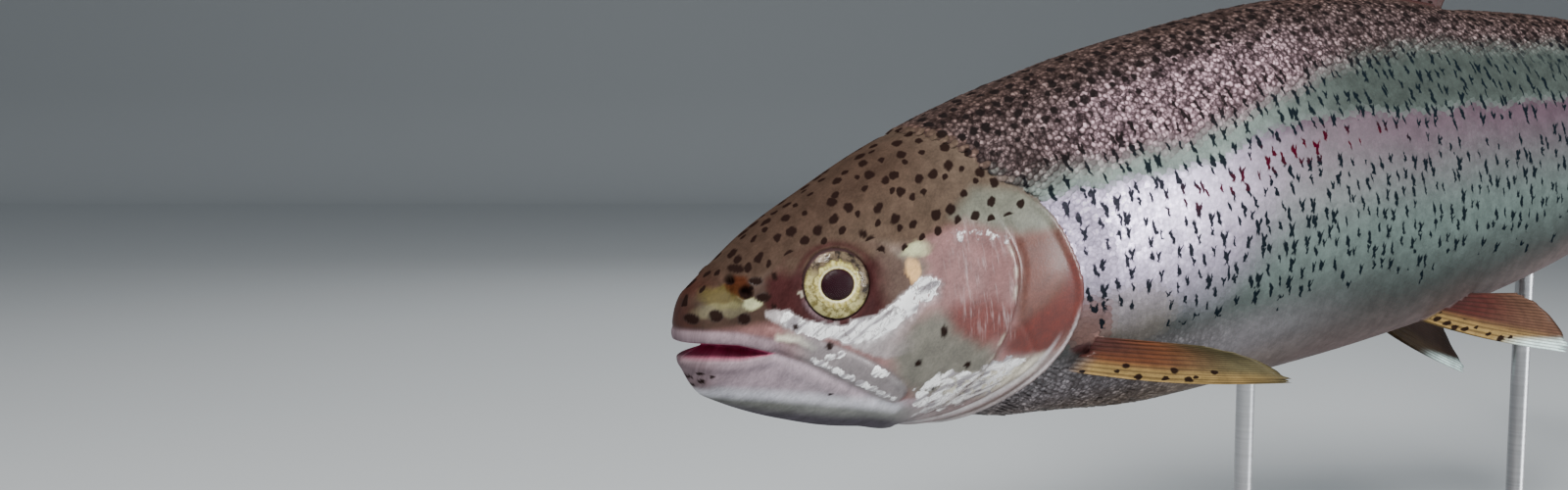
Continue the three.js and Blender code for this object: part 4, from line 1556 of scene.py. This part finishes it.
@dataclass
class Stand:
    """The display stand: a chamfered board and two flanged rods."""

    form: Form
    corner: float = 12.0
    chamfer: float = 1.5
    rod_radius: float = 2.5
    flange_radius: float = 8.0
    flange_thick: float = 2.5
    sides: int = 48
    sunk: float = 1.5

    def board(self) -> None:
        """Makes the board on the floor."""
        low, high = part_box("stand_base")
        bm = bmesh.new()
        bmesh.ops.create_cube(bm, size=1)
        bmesh.ops.scale(bm, vec=high - low, verts=bm.verts)
        bmesh.ops.translate(bm, vec=(high + low) / 2, verts=bm.verts)
        upright = [e for e in bm.edges if abs(e.verts[0].co.z - e.verts[1].co.z) > 0.001]
        rounding = {"affect": "EDGES", "profile": 0.5, "material": -1}
        bmesh.ops.bevel(bm, geom=upright, offset=self.corner * MM, segments=10, **rounding)
        top = [e for e in bm.edges if all(abs(v.co.z - high.z) < 1e-6 for v in e.verts)]
        bmesh.ops.bevel(bm, geom=top, offset=self.chamfer * MM, segments=3, **rounding)
        made = as_object("board", bm)
        shade(made.data, False)
        settle(made, WoodFinish(), ["stand_base"])

    def rod(self, node: str) -> None:
        """Makes one rod from the board into the belly of the fish.

        Args:
            node: The solid rod that it stands for.
        """
        low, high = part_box(node)
        middle = (low + high) / 2
        foot, head = low.z / MM, high.z / MM + self.sunk
        flange = foot + self.flange_thick
        thin, wide = self.rod_radius, self.flange_radius
        profile = (
            (0, head), (thin, head), (thin, flange + 1.6), (thin + 0.5, flange + 0.5), (thin + 1.6, flange),
            (wide - 0.5, flange), (wide, flange - 0.5), (wide, foot), (0, foot),
        )
        bm = spun([(r * MM, h * MM) for r, h in profile], self.sides, 1e-7)
        bmesh.ops.translate(bm, vec=(middle.x, middle.y, 0), verts=bm.verts)
        made = as_object(node.removeprefix("stand_"), bm)
        made.data.set_sharp_from_angle(angle=math.radians(35))
        settle(made, SteelFinish(), [node])

    def build(self) -> None:
        """Makes the whole stand."""
        self.board()
        self.rod("stand_rod_front")
        self.rod("stand_rod_rear")


@dataclass(frozen=True)
class Signal:
    """A node's output, which adds and multiplies as a number does."""

    wires: "Wiring"
    socket: NodeSocket

    def __add__(self, other: object) -> "Signal":
        """The sum."""
        return self.wires.math("ADD", self, other)

    def __sub__(self, other: object) -> "Signal":
        """The difference."""
        return self.wires.math("SUBTRACT", self, other)

    def __rsub__(self, other: object) -> "Signal":
        """The difference from a plain number."""
        return self.wires.math("SUBTRACT", other, self)

    def __mul__(self, other: object) -> "Signal":
        """The product."""
        return self.wires.math("MULTIPLY", self, other)

    def __truediv__(self, other: object) -> "Signal":
        """The quotient."""
        return self.wires.math("DIVIDE", self, other)


@dataclass
class Wiring:
    """Adds nodes to a material or a node group, and joins them."""

    tree: NodeTree

    def node(self, kind: str, settings: dict | None = None, **inputs: object) -> Node:
        """Adds a node.

        Args:
            kind: Its type, without the ShaderNode in front.
            settings: Its properties.
            **inputs: Values or signals for its inputs, by name with _ for each space.

        Returns:
            The node.
        """
        made = self.tree.nodes.new("ShaderNode" + kind)
        for name, value in (settings or {}).items():
            setattr(made, name, value)
        for name, value in inputs.items():
            self.feed(made.inputs[name.replace("_", " ")], value)
        return made

    def feed(self, socket: NodeSocket, value: object) -> None:
        """Joins another node's output to a socket, or sets the socket's own value."""
        if isinstance(value, Signal):
            value = value.socket
        if isinstance(value, NodeSocket):
            self.tree.links.new(value, socket)
        elif isinstance(value, tuple) and len(value) == 3 and socket.type == "RGBA":
            socket.default_value = (*value, 1)
        else:
            socket.default_value = value

    def worked(self, kind: str, settings: dict, values: tuple[object, ...]) -> Signal:
        """The first output of a new node whose inputs are given in their order."""
        made = self.node(kind, settings)
        for socket, value in zip(made.inputs, values):
            self.feed(socket, value)
        return Signal(self, made.outputs[0])

    def math(self, operation: str, *values: object, clamp: bool = False) -> Signal:
        """Works out one number from others."""
        return self.worked("Math", {"operation": operation, "use_clamp": clamp}, values)

    def vector(self, operation: str, *values: object) -> Signal:
        """Works out one vector from others."""
        return self.worked("VectorMath", {"operation": operation}, values)

    def joined(self, *numbers: object) -> Signal:
        """A vector made of three numbers."""
        return self.worked("CombineXYZ", {}, numbers)

    def step(self, value: object, low: object, high: object, to_low: float = 0, to_high: float = 1) -> Signal:
        """A smooth step between two values."""
        made = self.node(
            "MapRange", {"interpolation_type": "SMOOTHSTEP"}, Value=value, From_Min=low, From_Max=high,
            To_Min=to_low, To_Max=to_high,
        )
        return Signal(self, made.outputs["Result"])

    def mix(self, share: object, first: object, second: object) -> Signal:
        """Mixes two colours."""
        made = self.node("Mix", {"data_type": "RGBA"})
        colours = [s for s in made.inputs if s.type == "RGBA"]
        for socket, value in zip((made.inputs[0], *colours), (share, first, second)):
            self.feed(socket, value)
        return Signal(self, next(s for s in made.outputs if s.type == "RGBA"))

    def parts(self, vector: object) -> tuple[Signal, ...]:
        """The three numbers of a vector or a colour."""
        return tuple(Signal(self, out) for out in self.node("SeparateXYZ", Vector=vector).outputs)

    def stored(self, name: str, output: str = "Color") -> Signal:
        """The value that a mesh stores under a name."""
        return Signal(self, self.node("Attribute", {"attribute_name": name}).outputs[output])

    def noise(
        self, vector: object, scale: float, detail: float = 2, roughness: float = 0.5, output: str = "Fac"
    ) -> Signal:
        """A noise texture."""
        made = self.node("TexNoise", Vector=vector, Scale=scale, Detail=detail, Roughness=roughness)
        return Signal(self, made.outputs[output])

    def stretched(self, vector: object, size: Point, detail: float, roughness: float = 0.5) -> Signal:
        """A noise texture that is finer in some directions than in others."""
        return self.noise(self.vector("MULTIPLY", vector, size), 1.0, detail, roughness)

    def cells(self, vector: object, scale: float, randomness: float = 1.0) -> tuple[Signal, Signal, Signal]:
        """Scatters cells over a plane.

        Args:
            vector: The place on the plane.
            scale: How many cells there are to a unit.
            randomness: How far their middles stray from a grid.

        Returns:
            The distance from the cell's middle, the cell's own colour, and its middle.
        """
        made = self.node(
            "TexVoronoi", {"voronoi_dimensions": "2D"}, Vector=vector, Scale=scale, Randomness=randomness
        )
        return tuple(Signal(self, made.outputs[name]) for name in ("Distance", "Color", "Position"))

    def raised(self, height: object, strength: float, distance: float) -> NodeSocket:
        """The surface's direction once it is raised by a height."""
        return self.node("Bump", Strength=strength, Distance=distance, Height=height).outputs["Normal"]


@dataclass(frozen=True)
class Finish:
    """A finish, mixed at its first use and shared after that."""

    name: str

    def material(self) -> Material:
        """The finish's material."""
        made = bpy.data.materials.get(self.name)
        if made is None:
            made = bpy.data.materials.new(self.name)
            made.use_nodes = True
            made.node_tree.nodes.clear()
            w = Wiring(made.node_tree)
            w.node("OutputMaterial", Surface=self.shader(w).outputs[0])
        return made

    def shader(self, w: Wiring) -> Node:
        """Wires the finish and returns its shader."""
        raise NotImplementedError


@dataclass(frozen=True)
class Markings:
    """The spots, slashes, flakes and mottling that skin and scales share.

    Args:
        round_spacing: Distance between the round spots of the head and fins.
        round_size: Their radius.
        slash_spacing: Distance between the slashes of the trunk, along and down.
        slash_size: Half the width and the height of one slash.
        grain_size: Width of the small cells on the back whose painted glints stand in for light caught by its
            scales.
        rays: How many rays a fin shows.
        ray_gap: Colour between the rays of a fin.
        scale_gap_shade: Colour of the painted shade between the rough scales of the back.
        streak: Colour of the fine pale lines drawn down the cheek and shoulder, painted as streaky highlight.
        foil_reflection: The darker and the brighter colour of the foil-like patches, streaked across them as
            painted reflection.
        fold: Colour of the thin folds in them, painted shade in their creases.
    """

    round_spacing: float = 4.35
    round_size: float = 1.06
    slash_spacing: tuple[float, float] = (4.1, 4.8)
    slash_size: tuple[float, float] = (0.56, 1.9)
    grain_size: float = 1.15
    rays: int = 9
    ray_gap: Colour = linear(46, 30, 24)
    scale_gap_shade: Colour = linear(44, 34, 34)
    streak: Colour = linear(240, 226, 226)
    foil_reflection: Pair = (linear(150, 144, 148), linear(255, 254, 254))
    fold: Colour = linear(96, 84, 84)

    def group(self) -> NodeTree:
        """Builds the shared node group once and returns it."""
        if "fish markings" in bpy.data.node_groups:
            return bpy.data.node_groups["fish markings"]
        tree = bpy.data.node_groups.new("fish markings", "ShaderNodeTree")
        for way, kind, names in (
            ("INPUT", "Color", ("Tone", "Ink", "Marks", "Sheen")),
            ("INPUT", "Vector", ("Touch", "Flat")),
            ("OUTPUT", "Color", ("Color",)),
            ("OUTPUT", "Float", ("Metallic", "Roughness", "Specular", "Coat", "Height")),
        ):
            for name in names:
                tree.interface.new_socket(name, in_out=way, socket_type="NodeSocket" + kind)
        w = Wiring(tree)
        given = tree.nodes.new("NodeGroupInput").outputs
        result = tree.nodes.new("NodeGroupOutput").inputs
        for name, value in self.worked_out(w, given).items():
            w.feed(result[name], value)
        return tree

    def worked_out(self, w: Wiring, given: NodeOutputs) -> dict[str, Signal]:
        """Works out the group's outputs.

        Args:
            w: The group's wiring.
            given: The group's inputs.

        Returns:
            What feeds each output, by its name.
        """
        density, slash, foil = w.parts(given["Marks"])
        silver, grain, dull = w.parts(given["Sheen"])
        streak, inked, rim = w.parts(given["Touch"])
        along, down, tint = w.parts(given["Flat"])
        place = w.joined(along, down, 0.0)
        jitter = w.vector("SUBTRACT", w.noise(place, 0.55, output="Color"), (0.5, 0.5, 0.5))
        spots = self.round_spots(w, place, jitter, density)
        slashes = self.slashes(w, place, jitter, density)
        marks = w.math("ADD", spots * (1.0 - slash), slashes * slash, clamp=True)
        marks = w.math("MAXIMUM", marks, inked)
        mottle = w.noise(place, 0.22, 4, 0.6)
        fine = w.noise(place, 1.7, 2, 0.6)
        light = w.step(mottle, 0.3, 0.7, 0.8, 1.16) + w.step(fine, 0.25, 0.75, -0.12, 0.12)
        # painted glints: each scale's tint and the grain cells brighten and darken the colour where the back
        # is grainy, standing in for light caught by its scales
        sparkle = w.step(tint, 0.0, 1.0, 0.66, 1.3) * self.grains(w, place)
        light = light * (grain * (sparkle - 1.0) + 1.0)
        lit = w.node("VectorMath", {"operation": "SCALE"}, Vector=given["Tone"], Scale=light)
        fins = self.ray_gaps(w, rim, down) * w.math("GREATER_THAN", tint, FIN_TINT - 0.5)
        colour = w.mix(fins * 0.5, lit.outputs["Vector"], self.ray_gap)
        # painted shade between the rough scales of the back, darkest at each scale's rim
        colour = w.mix(w.step(rim, 0.5, 1.0) * (grain * 0.85), colour, self.scale_gap_shade)
        # painted highlight: fine pale streaks down the cheek and shoulder
        drawn = w.stretched(place, (1.0, 0.11, 0.0), 3, 0.6)
        colour = w.mix(w.step(drawn, 0.5, 0.76) * (streak * 0.3), colour, self.streak)
        flakes, folds = self.flakes(w, place, foil)
        # painted reflection: soft lighter and darker streaks across the foil's flakes
        foil_reflection = w.mix(w.step(w.stretched(place, (0.16, 0.5, 0.0), 2), 0.36, 0.56), *self.foil_reflection)
        colour = w.mix(flakes, colour, foil_reflection)
        # painted shade in the thin folds of the foil
        colour = w.mix(folds * 0.6, colour, self.fold)
        bright = w.math("ADD", silver, flakes * 0.2, clamp=True)
        wet = 1.0 - w.math("MAXIMUM", dull, marks)
        return {
            "Color": w.mix(marks * 0.97, colour, given["Ink"]),
            "Metallic": bright * (1.0 - marks),
            "Roughness": w.step(fine, 0.2, 0.8, 0.34, 0.5) - bright * 0.16 + dull * 0.22,
            "Specular": wet * 0.5,
            "Coat": wet * 0.4,
            "Height": fine * 0.2 + flakes * 0.2 + mottle * 0.3 - fins * 0.9,
        }

    def grains(self, w: Wiring, place: Signal) -> Signal:
        """Painted glints: how bright each small grain of the back is, with painted shade between them."""
        distance, own, _ = w.cells(place, 1 / self.grain_size)
        return w.step(w.parts(own)[0], 0.1, 0.95, 0.4, 1.7) * w.step(distance, 0.2, 0.62, 1.25, 0.4)

    def ray_gaps(self, w: Wiring, across: Signal, down: Signal) -> Signal:
        """A mask of the thin skin between a fin's rays, which part in two on the way out."""
        single, double = (w.math("SINE", across * (self.rays * turns * math.pi)) for turns in (2, 4))
        share = w.step(w.math("ABSOLUTE", down), 22.0, 40.0)
        return w.step(single * (1.0 - share) + double * share, 0.1, -0.8)

    def round_spots(self, w: Wiring, place: Signal, jitter: Signal, density: Signal) -> Signal:
        """A mask of round spots, each of its own size, as many as the density asks for."""
        warped = w.vector("ADD", place, w.vector("MULTIPLY", jitter, (1.5, 1.5, 0.0)))
        scaled = w.vector("MULTIPLY", warped, (1 / self.round_spacing, 1 / self.round_spacing, 0.0))
        distance, own, _ = w.cells(scaled, 1.0, 0.72)
        chance, size, _ = w.parts(own)
        radius = w.step(size, 0.0, 1.0, 0.72, 1.28) * (self.round_size / self.round_spacing)
        return w.step(distance, radius * 1.2, radius * 0.76) * w.math("LESS_THAN", chance, density)

    def slashes(self, w: Wiring, place: Signal, jitter: Signal, density: Signal) -> Signal:
        """A mask of short upright strokes, some of them forked, with ragged edges."""
        wide, tall = self.slash_spacing
        warped = w.vector("ADD", place, w.vector("MULTIPLY", jitter, (2.4, 1.4, 0.0)))
        scaled = w.vector("MULTIPLY", warped, (1 / wide, 1 / tall, 0.0))
        _, own, middle = w.cells(scaled, 1.0, 0.8)
        chance, size, fork = w.parts(own)
        dx, dy, _ = w.parts(w.vector("SUBTRACT", scaled, middle))
        dx, dy = dx * wide, dy * tall
        grow = w.step(size, 0.0, 1.0, 0.7, 1.25)
        strokes = []
        for lean, side, thin in ((-0.22, 0.0, 1.0), (0.55, 0.35, 0.8)):
            a = (dx + dy * lean - side) / (grow * (self.slash_size[0] * thin))
            b = dy / (grow * (self.slash_size[1] * thin))
            strokes.append(w.step(w.math("SQRT", a * a + b * b), 1.25, 0.75))
        forked = strokes[1] * w.math("GREATER_THAN", fork, 0.55)
        return w.math("MAXIMUM", strokes[0], forked) * w.math("LESS_THAN", chance, density)

    def flakes(self, w: Wiring, place: Signal, foil: Signal) -> tuple[Signal, Signal]:
        """Masks of the bright foil-like flakes and of the painted shade in the dark folds in them."""
        limit = w.step(foil, 0.0, 1.0, 0.95, 0.24)
        flakes = w.step(w.noise(place, 0.42, 3, 0.55), limit - 0.05, limit + 0.09)
        fold = w.math("ABSOLUTE", w.noise(place, 0.3, 3, 0.6) - 0.5)
        return flakes, w.step(fold, 0.024, 0.004) * foil


@dataclass(frozen=True)
class FishFinish(Finish):
    """The wet, silvery finish of skin and scales."""

    name: str = "fish skin"
    coat_roughness: float = 0.14
    bump: float = 0.35
    bump_depth: float = 0.0004

    def shader(self, w: Wiring) -> Node:
        """Wires the shared markings to the shader."""
        stored = {name: w.stored(name.lower()) for name in ("Tone", "Ink", "Marks", "Sheen")}
        stored |= {name: w.stored(name.lower(), "Vector") for name in ("Flat", "Touch")}
        marks = w.node("Group", {"node_tree": Markings().group()}, **stored).outputs
        return w.node(
            "BsdfPrincipled", Base_Color=marks["Color"], Metallic=marks["Metallic"],
            Roughness=marks["Roughness"], Specular_IOR_Level=marks["Specular"], Coat_Weight=marks["Coat"],
            Coat_Roughness=self.coat_roughness, Normal=w.raised(marks["Height"], self.bump, self.bump_depth),
        )


@dataclass(frozen=True)
class EyeFinish(Finish):
    """The painted ball of the eye: a dark pupil in a gold iris, mottled towards its rim.

    Args:
        name: The finish's name.
        pupil: The pupil's radius, in millimetres.
        gold: The two golds of the inner iris.
        low: The two colours that mottle the iris below.
        high: The two darker colours that mottle it above, painted shade from the lid.
        ring: The pale ring round the pupil.
        shadow: The line between inner and outer iris.
        edge: The iris's outer edge.
        dark: The pupil.
    """

    name: str = "iris"
    pupil: float = 3.4
    gold: Pair = (linear(166, 152, 74), linear(222, 212, 146))
    low: Pair = (linear(130, 118, 70), linear(206, 196, 136))
    high: Pair = (linear(34, 26, 22), linear(104, 90, 72))
    ring: Colour = linear(254, 250, 222)
    shadow: Colour = linear(86, 74, 44)
    edge: Colour = linear(58, 40, 40)
    dark: Colour = linear(30, 0, 10)

    def shader(self, w: Wiring) -> Node:
        """Paints the iris and the pupil in rings round the ball's own middle."""
        across, up, _ = w.parts(w.stored("disc", "Vector"))
        flat = w.joined(across, up, 0.0)
        reach = Signal(w, w.node("VectorMath", {"operation": "LENGTH"}, Vector=flat).outputs["Value"])
        turn = w.math("ARCTAN2", up, across)
        fibre = w.noise(w.joined(turn * 7.0, reach * 0.9, 0.0), 1.0, 3)
        blotch = w.noise(flat, 0.55, 4, 0.65)
        ragged = reach + w.step(blotch, 0.3, 0.7, -0.45, 0.45)
        low = w.mix(w.step(blotch, 0.4, 0.6), *self.low)
        high = w.mix(w.step(blotch, 0.38, 0.6), *self.high)
        # painted shade: the outer iris darkens towards the top and one side, as under the lid
        outer = w.mix(w.step(up + across * 0.7, -3.2, 1.6), low, high)
        colour = w.mix(w.step(fibre, 0.3, 0.7), *self.gold)
        for share, tone in (
            (w.step(ragged, 4.9, 5.5), outer),
            (w.step(reach, 3.5, 3.62) * w.step(reach, 4.1, 3.8) * 0.5, self.ring),
            (w.step(ragged, 4.9, 5.1) * w.step(ragged, 5.6, 5.2) * 0.5, self.shadow),
            (w.step(reach, 7.1, 7.5), self.edge),
            (w.step(reach, self.pupil + 0.14, self.pupil - 0.06), self.dark),
        ):
            colour = w.mix(share, colour, tone)
        return w.node(
            "BsdfPrincipled", Base_Color=colour, Metallic=w.step(reach, 3.5, 3.9) * 0.35, Roughness=0.45,
            Specular_IOR_Level=0.15, Normal=w.raised(fibre + blotch, 0.4, 0.0002),
        )


@dataclass(frozen=True)
class DomeFinish(Finish):
    """The clear dome over an eye: see-through, with a wet reflection."""

    name: str = "cornea"

    def shader(self, w: Wiring) -> Node:
        """Mixes a clear shader with a glossy one."""
        blend = w.node("MixShader")
        wet = w.node("BsdfGlossy", Roughness=0.05)
        layers = (w.node("Fresnel", IOR=1.14), w.node("BsdfTransparent"), wet)
        for socket, layer in zip(blend.inputs, layers):
            w.feed(socket, layer.outputs[0])
        return blend


@dataclass(frozen=True)
class WoodFinish(Finish):
    """Dark oiled hardwood with its grain along the board."""

    name: str = "dark hardwood"
    rings: Pair = (linear(62, 38, 26), linear(88, 56, 38))
    pore: Colour = linear(34, 20, 14)

    def shader(self, w: Wiring) -> Node:
        """Draws rings and pores along the board."""
        place = w.node("TexCoord").outputs["Object"]
        drift = w.stretched(place, (9.0, 26.0, 26.0), 3)
        rings = w.math("SINE", (drift + w.parts(place)[1]) * 46.0)
        pores = w.noise(w.vector("MULTIPLY", place, (14.0, 160.0, 160.0)), 3.0, 4, 0.7)
        tone = w.mix(w.step(rings, -1.0, 1.0), *self.rings)
        return w.node(
            "BsdfPrincipled", Base_Color=w.mix(w.step(pores, 0.56, 0.68, 0.0, 0.7), tone, self.pore),
            Roughness=w.step(pores, 0.3, 0.7, 0.42, 0.56), Specular_IOR_Level=0.25,
            Normal=w.raised(pores, 0.25, 0.0003),
        )


@dataclass(frozen=True)
class SteelFinish(Finish):
    """Brushed stainless steel, brushed round the rod."""

    name: str = "brushed steel"
    tones: Pair = (linear(186, 186, 188), linear(198, 198, 200))

    def shader(self, w: Wiring) -> Node:
        """Draws fine lines round the rod."""
        brush = w.stretched(w.node("TexCoord").outputs["Object"], (40.0, 40.0, 1400.0), 2)
        return w.node(
            "BsdfPrincipled", Base_Color=w.mix(w.step(brush, 0.3, 0.7), *self.tones),
            Roughness=w.step(brush, 0.3, 0.7, 0.3, 0.36), Metallic=1.0, Normal=w.raised(brush, 0.04, 0.0001),
        )


@dataclass(frozen=True)
class PaperFinish(Finish):
    """The plain pale paper of the backdrop."""

    name: str = "backdrop paper"
    tone: Colour = linear(196, 200, 202)

    def shader(self, w: Wiring) -> Node:
        """A plain dull colour."""
        return w.node("BsdfPrincipled", Base_Color=self.tone, Roughness=0.9)


@dataclass
class Studio:
    """The pale sweep, the soft lights and the camera."""

    form: Form
    camera_at: Point = (-80.3, -221.6, 35.8)
    azimuth: float = 0.45
    elevation: float = -0.0708
    lens: float = 24.79
    lit: Point = (-0.08, 0, 0.13)
    floor_size: float = 9.0
    left_end: float = -11.0
    sweep: float = 0.5
    world_colour: Colour = linear(226, 232, 238)
    world_strength: float = 0.32

    def camera(self) -> None:
        """Sets the camera before the left side of the head."""
        data = bpy.data.cameras.new("camera")
        data.lens, data.sensor_width = self.lens, 36
        data.clip_start, data.clip_end = 0.01, 20
        made = linked("camera", data)
        made.location = Vector(self.camera_at) * MM + Vector(self.form.shift)
        made.rotation_euler = (math.pi / 2 + self.elevation, 0, -self.azimuth)
        bpy.context.scene.camera = made

    def backdrop(self) -> None:
        """A floor that turns up into a wall behind the fish."""
        bm = bmesh.new()
        half = self.floor_size / 2
        left = self.left_end
        points = [bm.verts.new((left, -self.floor_size, 0)), bm.verts.new((left, half - self.sweep, 0))]
        edges = [bm.edges.new(points)]
        turned = bmesh.ops.spin(
            bm, geom=[points[1]], cent=(left, half - self.sweep, self.sweep), axis=(1, 0, 0), dvec=(0, 0, 0),
            angle=math.pi / 2, steps=16, use_merge=False,
        )
        last = next(v for v in turned["geom_last"] if isinstance(v, BMVert))
        edges.append(bm.edges.new((last, bm.verts.new((left, half, self.floor_size)))))
        drawn = bmesh.ops.extrude_edge_only(bm, edges=bm.edges[:])
        moved = [v for v in drawn["geom"] if isinstance(v, BMVert)]
        bmesh.ops.translate(bm, vec=(half - left, 0, 0), verts=moved)
        bmesh.ops.rotate(bm, cent=(0, 0, 0), matrix=Matrix.Rotation(-self.azimuth, 3, "Z"), verts=bm.verts)
        bmesh.ops.recalc_face_normals(bm, faces=bm.faces)
        made = as_object("backdrop", bm)
        made.data.materials.append(PaperFinish().material())

    def light(self, name: str, at: Point, size: tuple[float, float], power: float, colour: Colour) -> None:
        """Hangs one soft light that points at the fish.

        Args:
            name: The light's name.
            at: Its place, in metres.
            size: Its width and height.
            power: Its power in watts.
            colour: Its colour.
        """
        data = bpy.data.lights.new(name, "AREA")
        data.shape, data.size, data.size_y = "RECTANGLE", *size
        data.energy, data.color = power, colour
        made = linked(name, data)
        made.visible_camera = False
        made.location = at
        aim = Vector(self.lit) - Vector(at)
        made.rotation_euler = aim.to_track_quat("-Z", "Y").to_euler()

    def build(self) -> None:
        """Sets up the whole studio."""
        self.camera()
        self.backdrop()
        self.light("key", (-0.5, -0.6, 0.95), (0.5, 0.4), 20.0, (1.0, 0.98, 0.96))
        self.light("fill", (0.72, -1.0, 0.28), (0.6, 0.5), 12.0, (0.94, 0.98, 1.0))
        self.light("back", (0.3, 0.9, 0.8), (0.7, 0.5), 2.0, (0.96, 0.98, 1.0))
        world = bpy.data.worlds.new("studio air")
        world.use_nodes = True
        air = world.node_tree.nodes["Background"].inputs
        air["Color"].default_value = (*self.world_colour, 1)
        air["Strength"].default_value = self.world_strength
        bpy.context.scene.world = world


BOARD_AT = 215.0
BOARD_LOW = -110.0


def frame_shift(form: Form) -> np.ndarray:
    """How far the posed fish moves to sit over its board in the frame, in metres."""
    low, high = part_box("stand_base")
    bare = form.posed(np.array([[BOARD_AT, 0.0, 0.0]]))[0]
    return np.array([(low.x + high.x) / 2 - bare[0], (low.y + high.y) / 2 - bare[1], low.z - BOARD_LOW * MM])


def main() -> None:
    """Builds the fish, its stand and the studio."""
    logging.basicConfig(level=logging.INFO, format="%(message)s")
    form = Form()
    form.shift = frame_shift(form)
    relief = Relief()
    flesh = [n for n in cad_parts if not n.startswith(("stand_", "eye_"))]
    settle(Skin(form, relief).build(), FishFinish(), flesh)
    for strip in Scales(form, relief).build():
        settle(strip, FishFinish(), [])
    for side in Side:
        Eye(form, relief.eye, side).build()
    Stand(form).build()
    Studio(form).build()


if __name__ == "__main__":
    main()
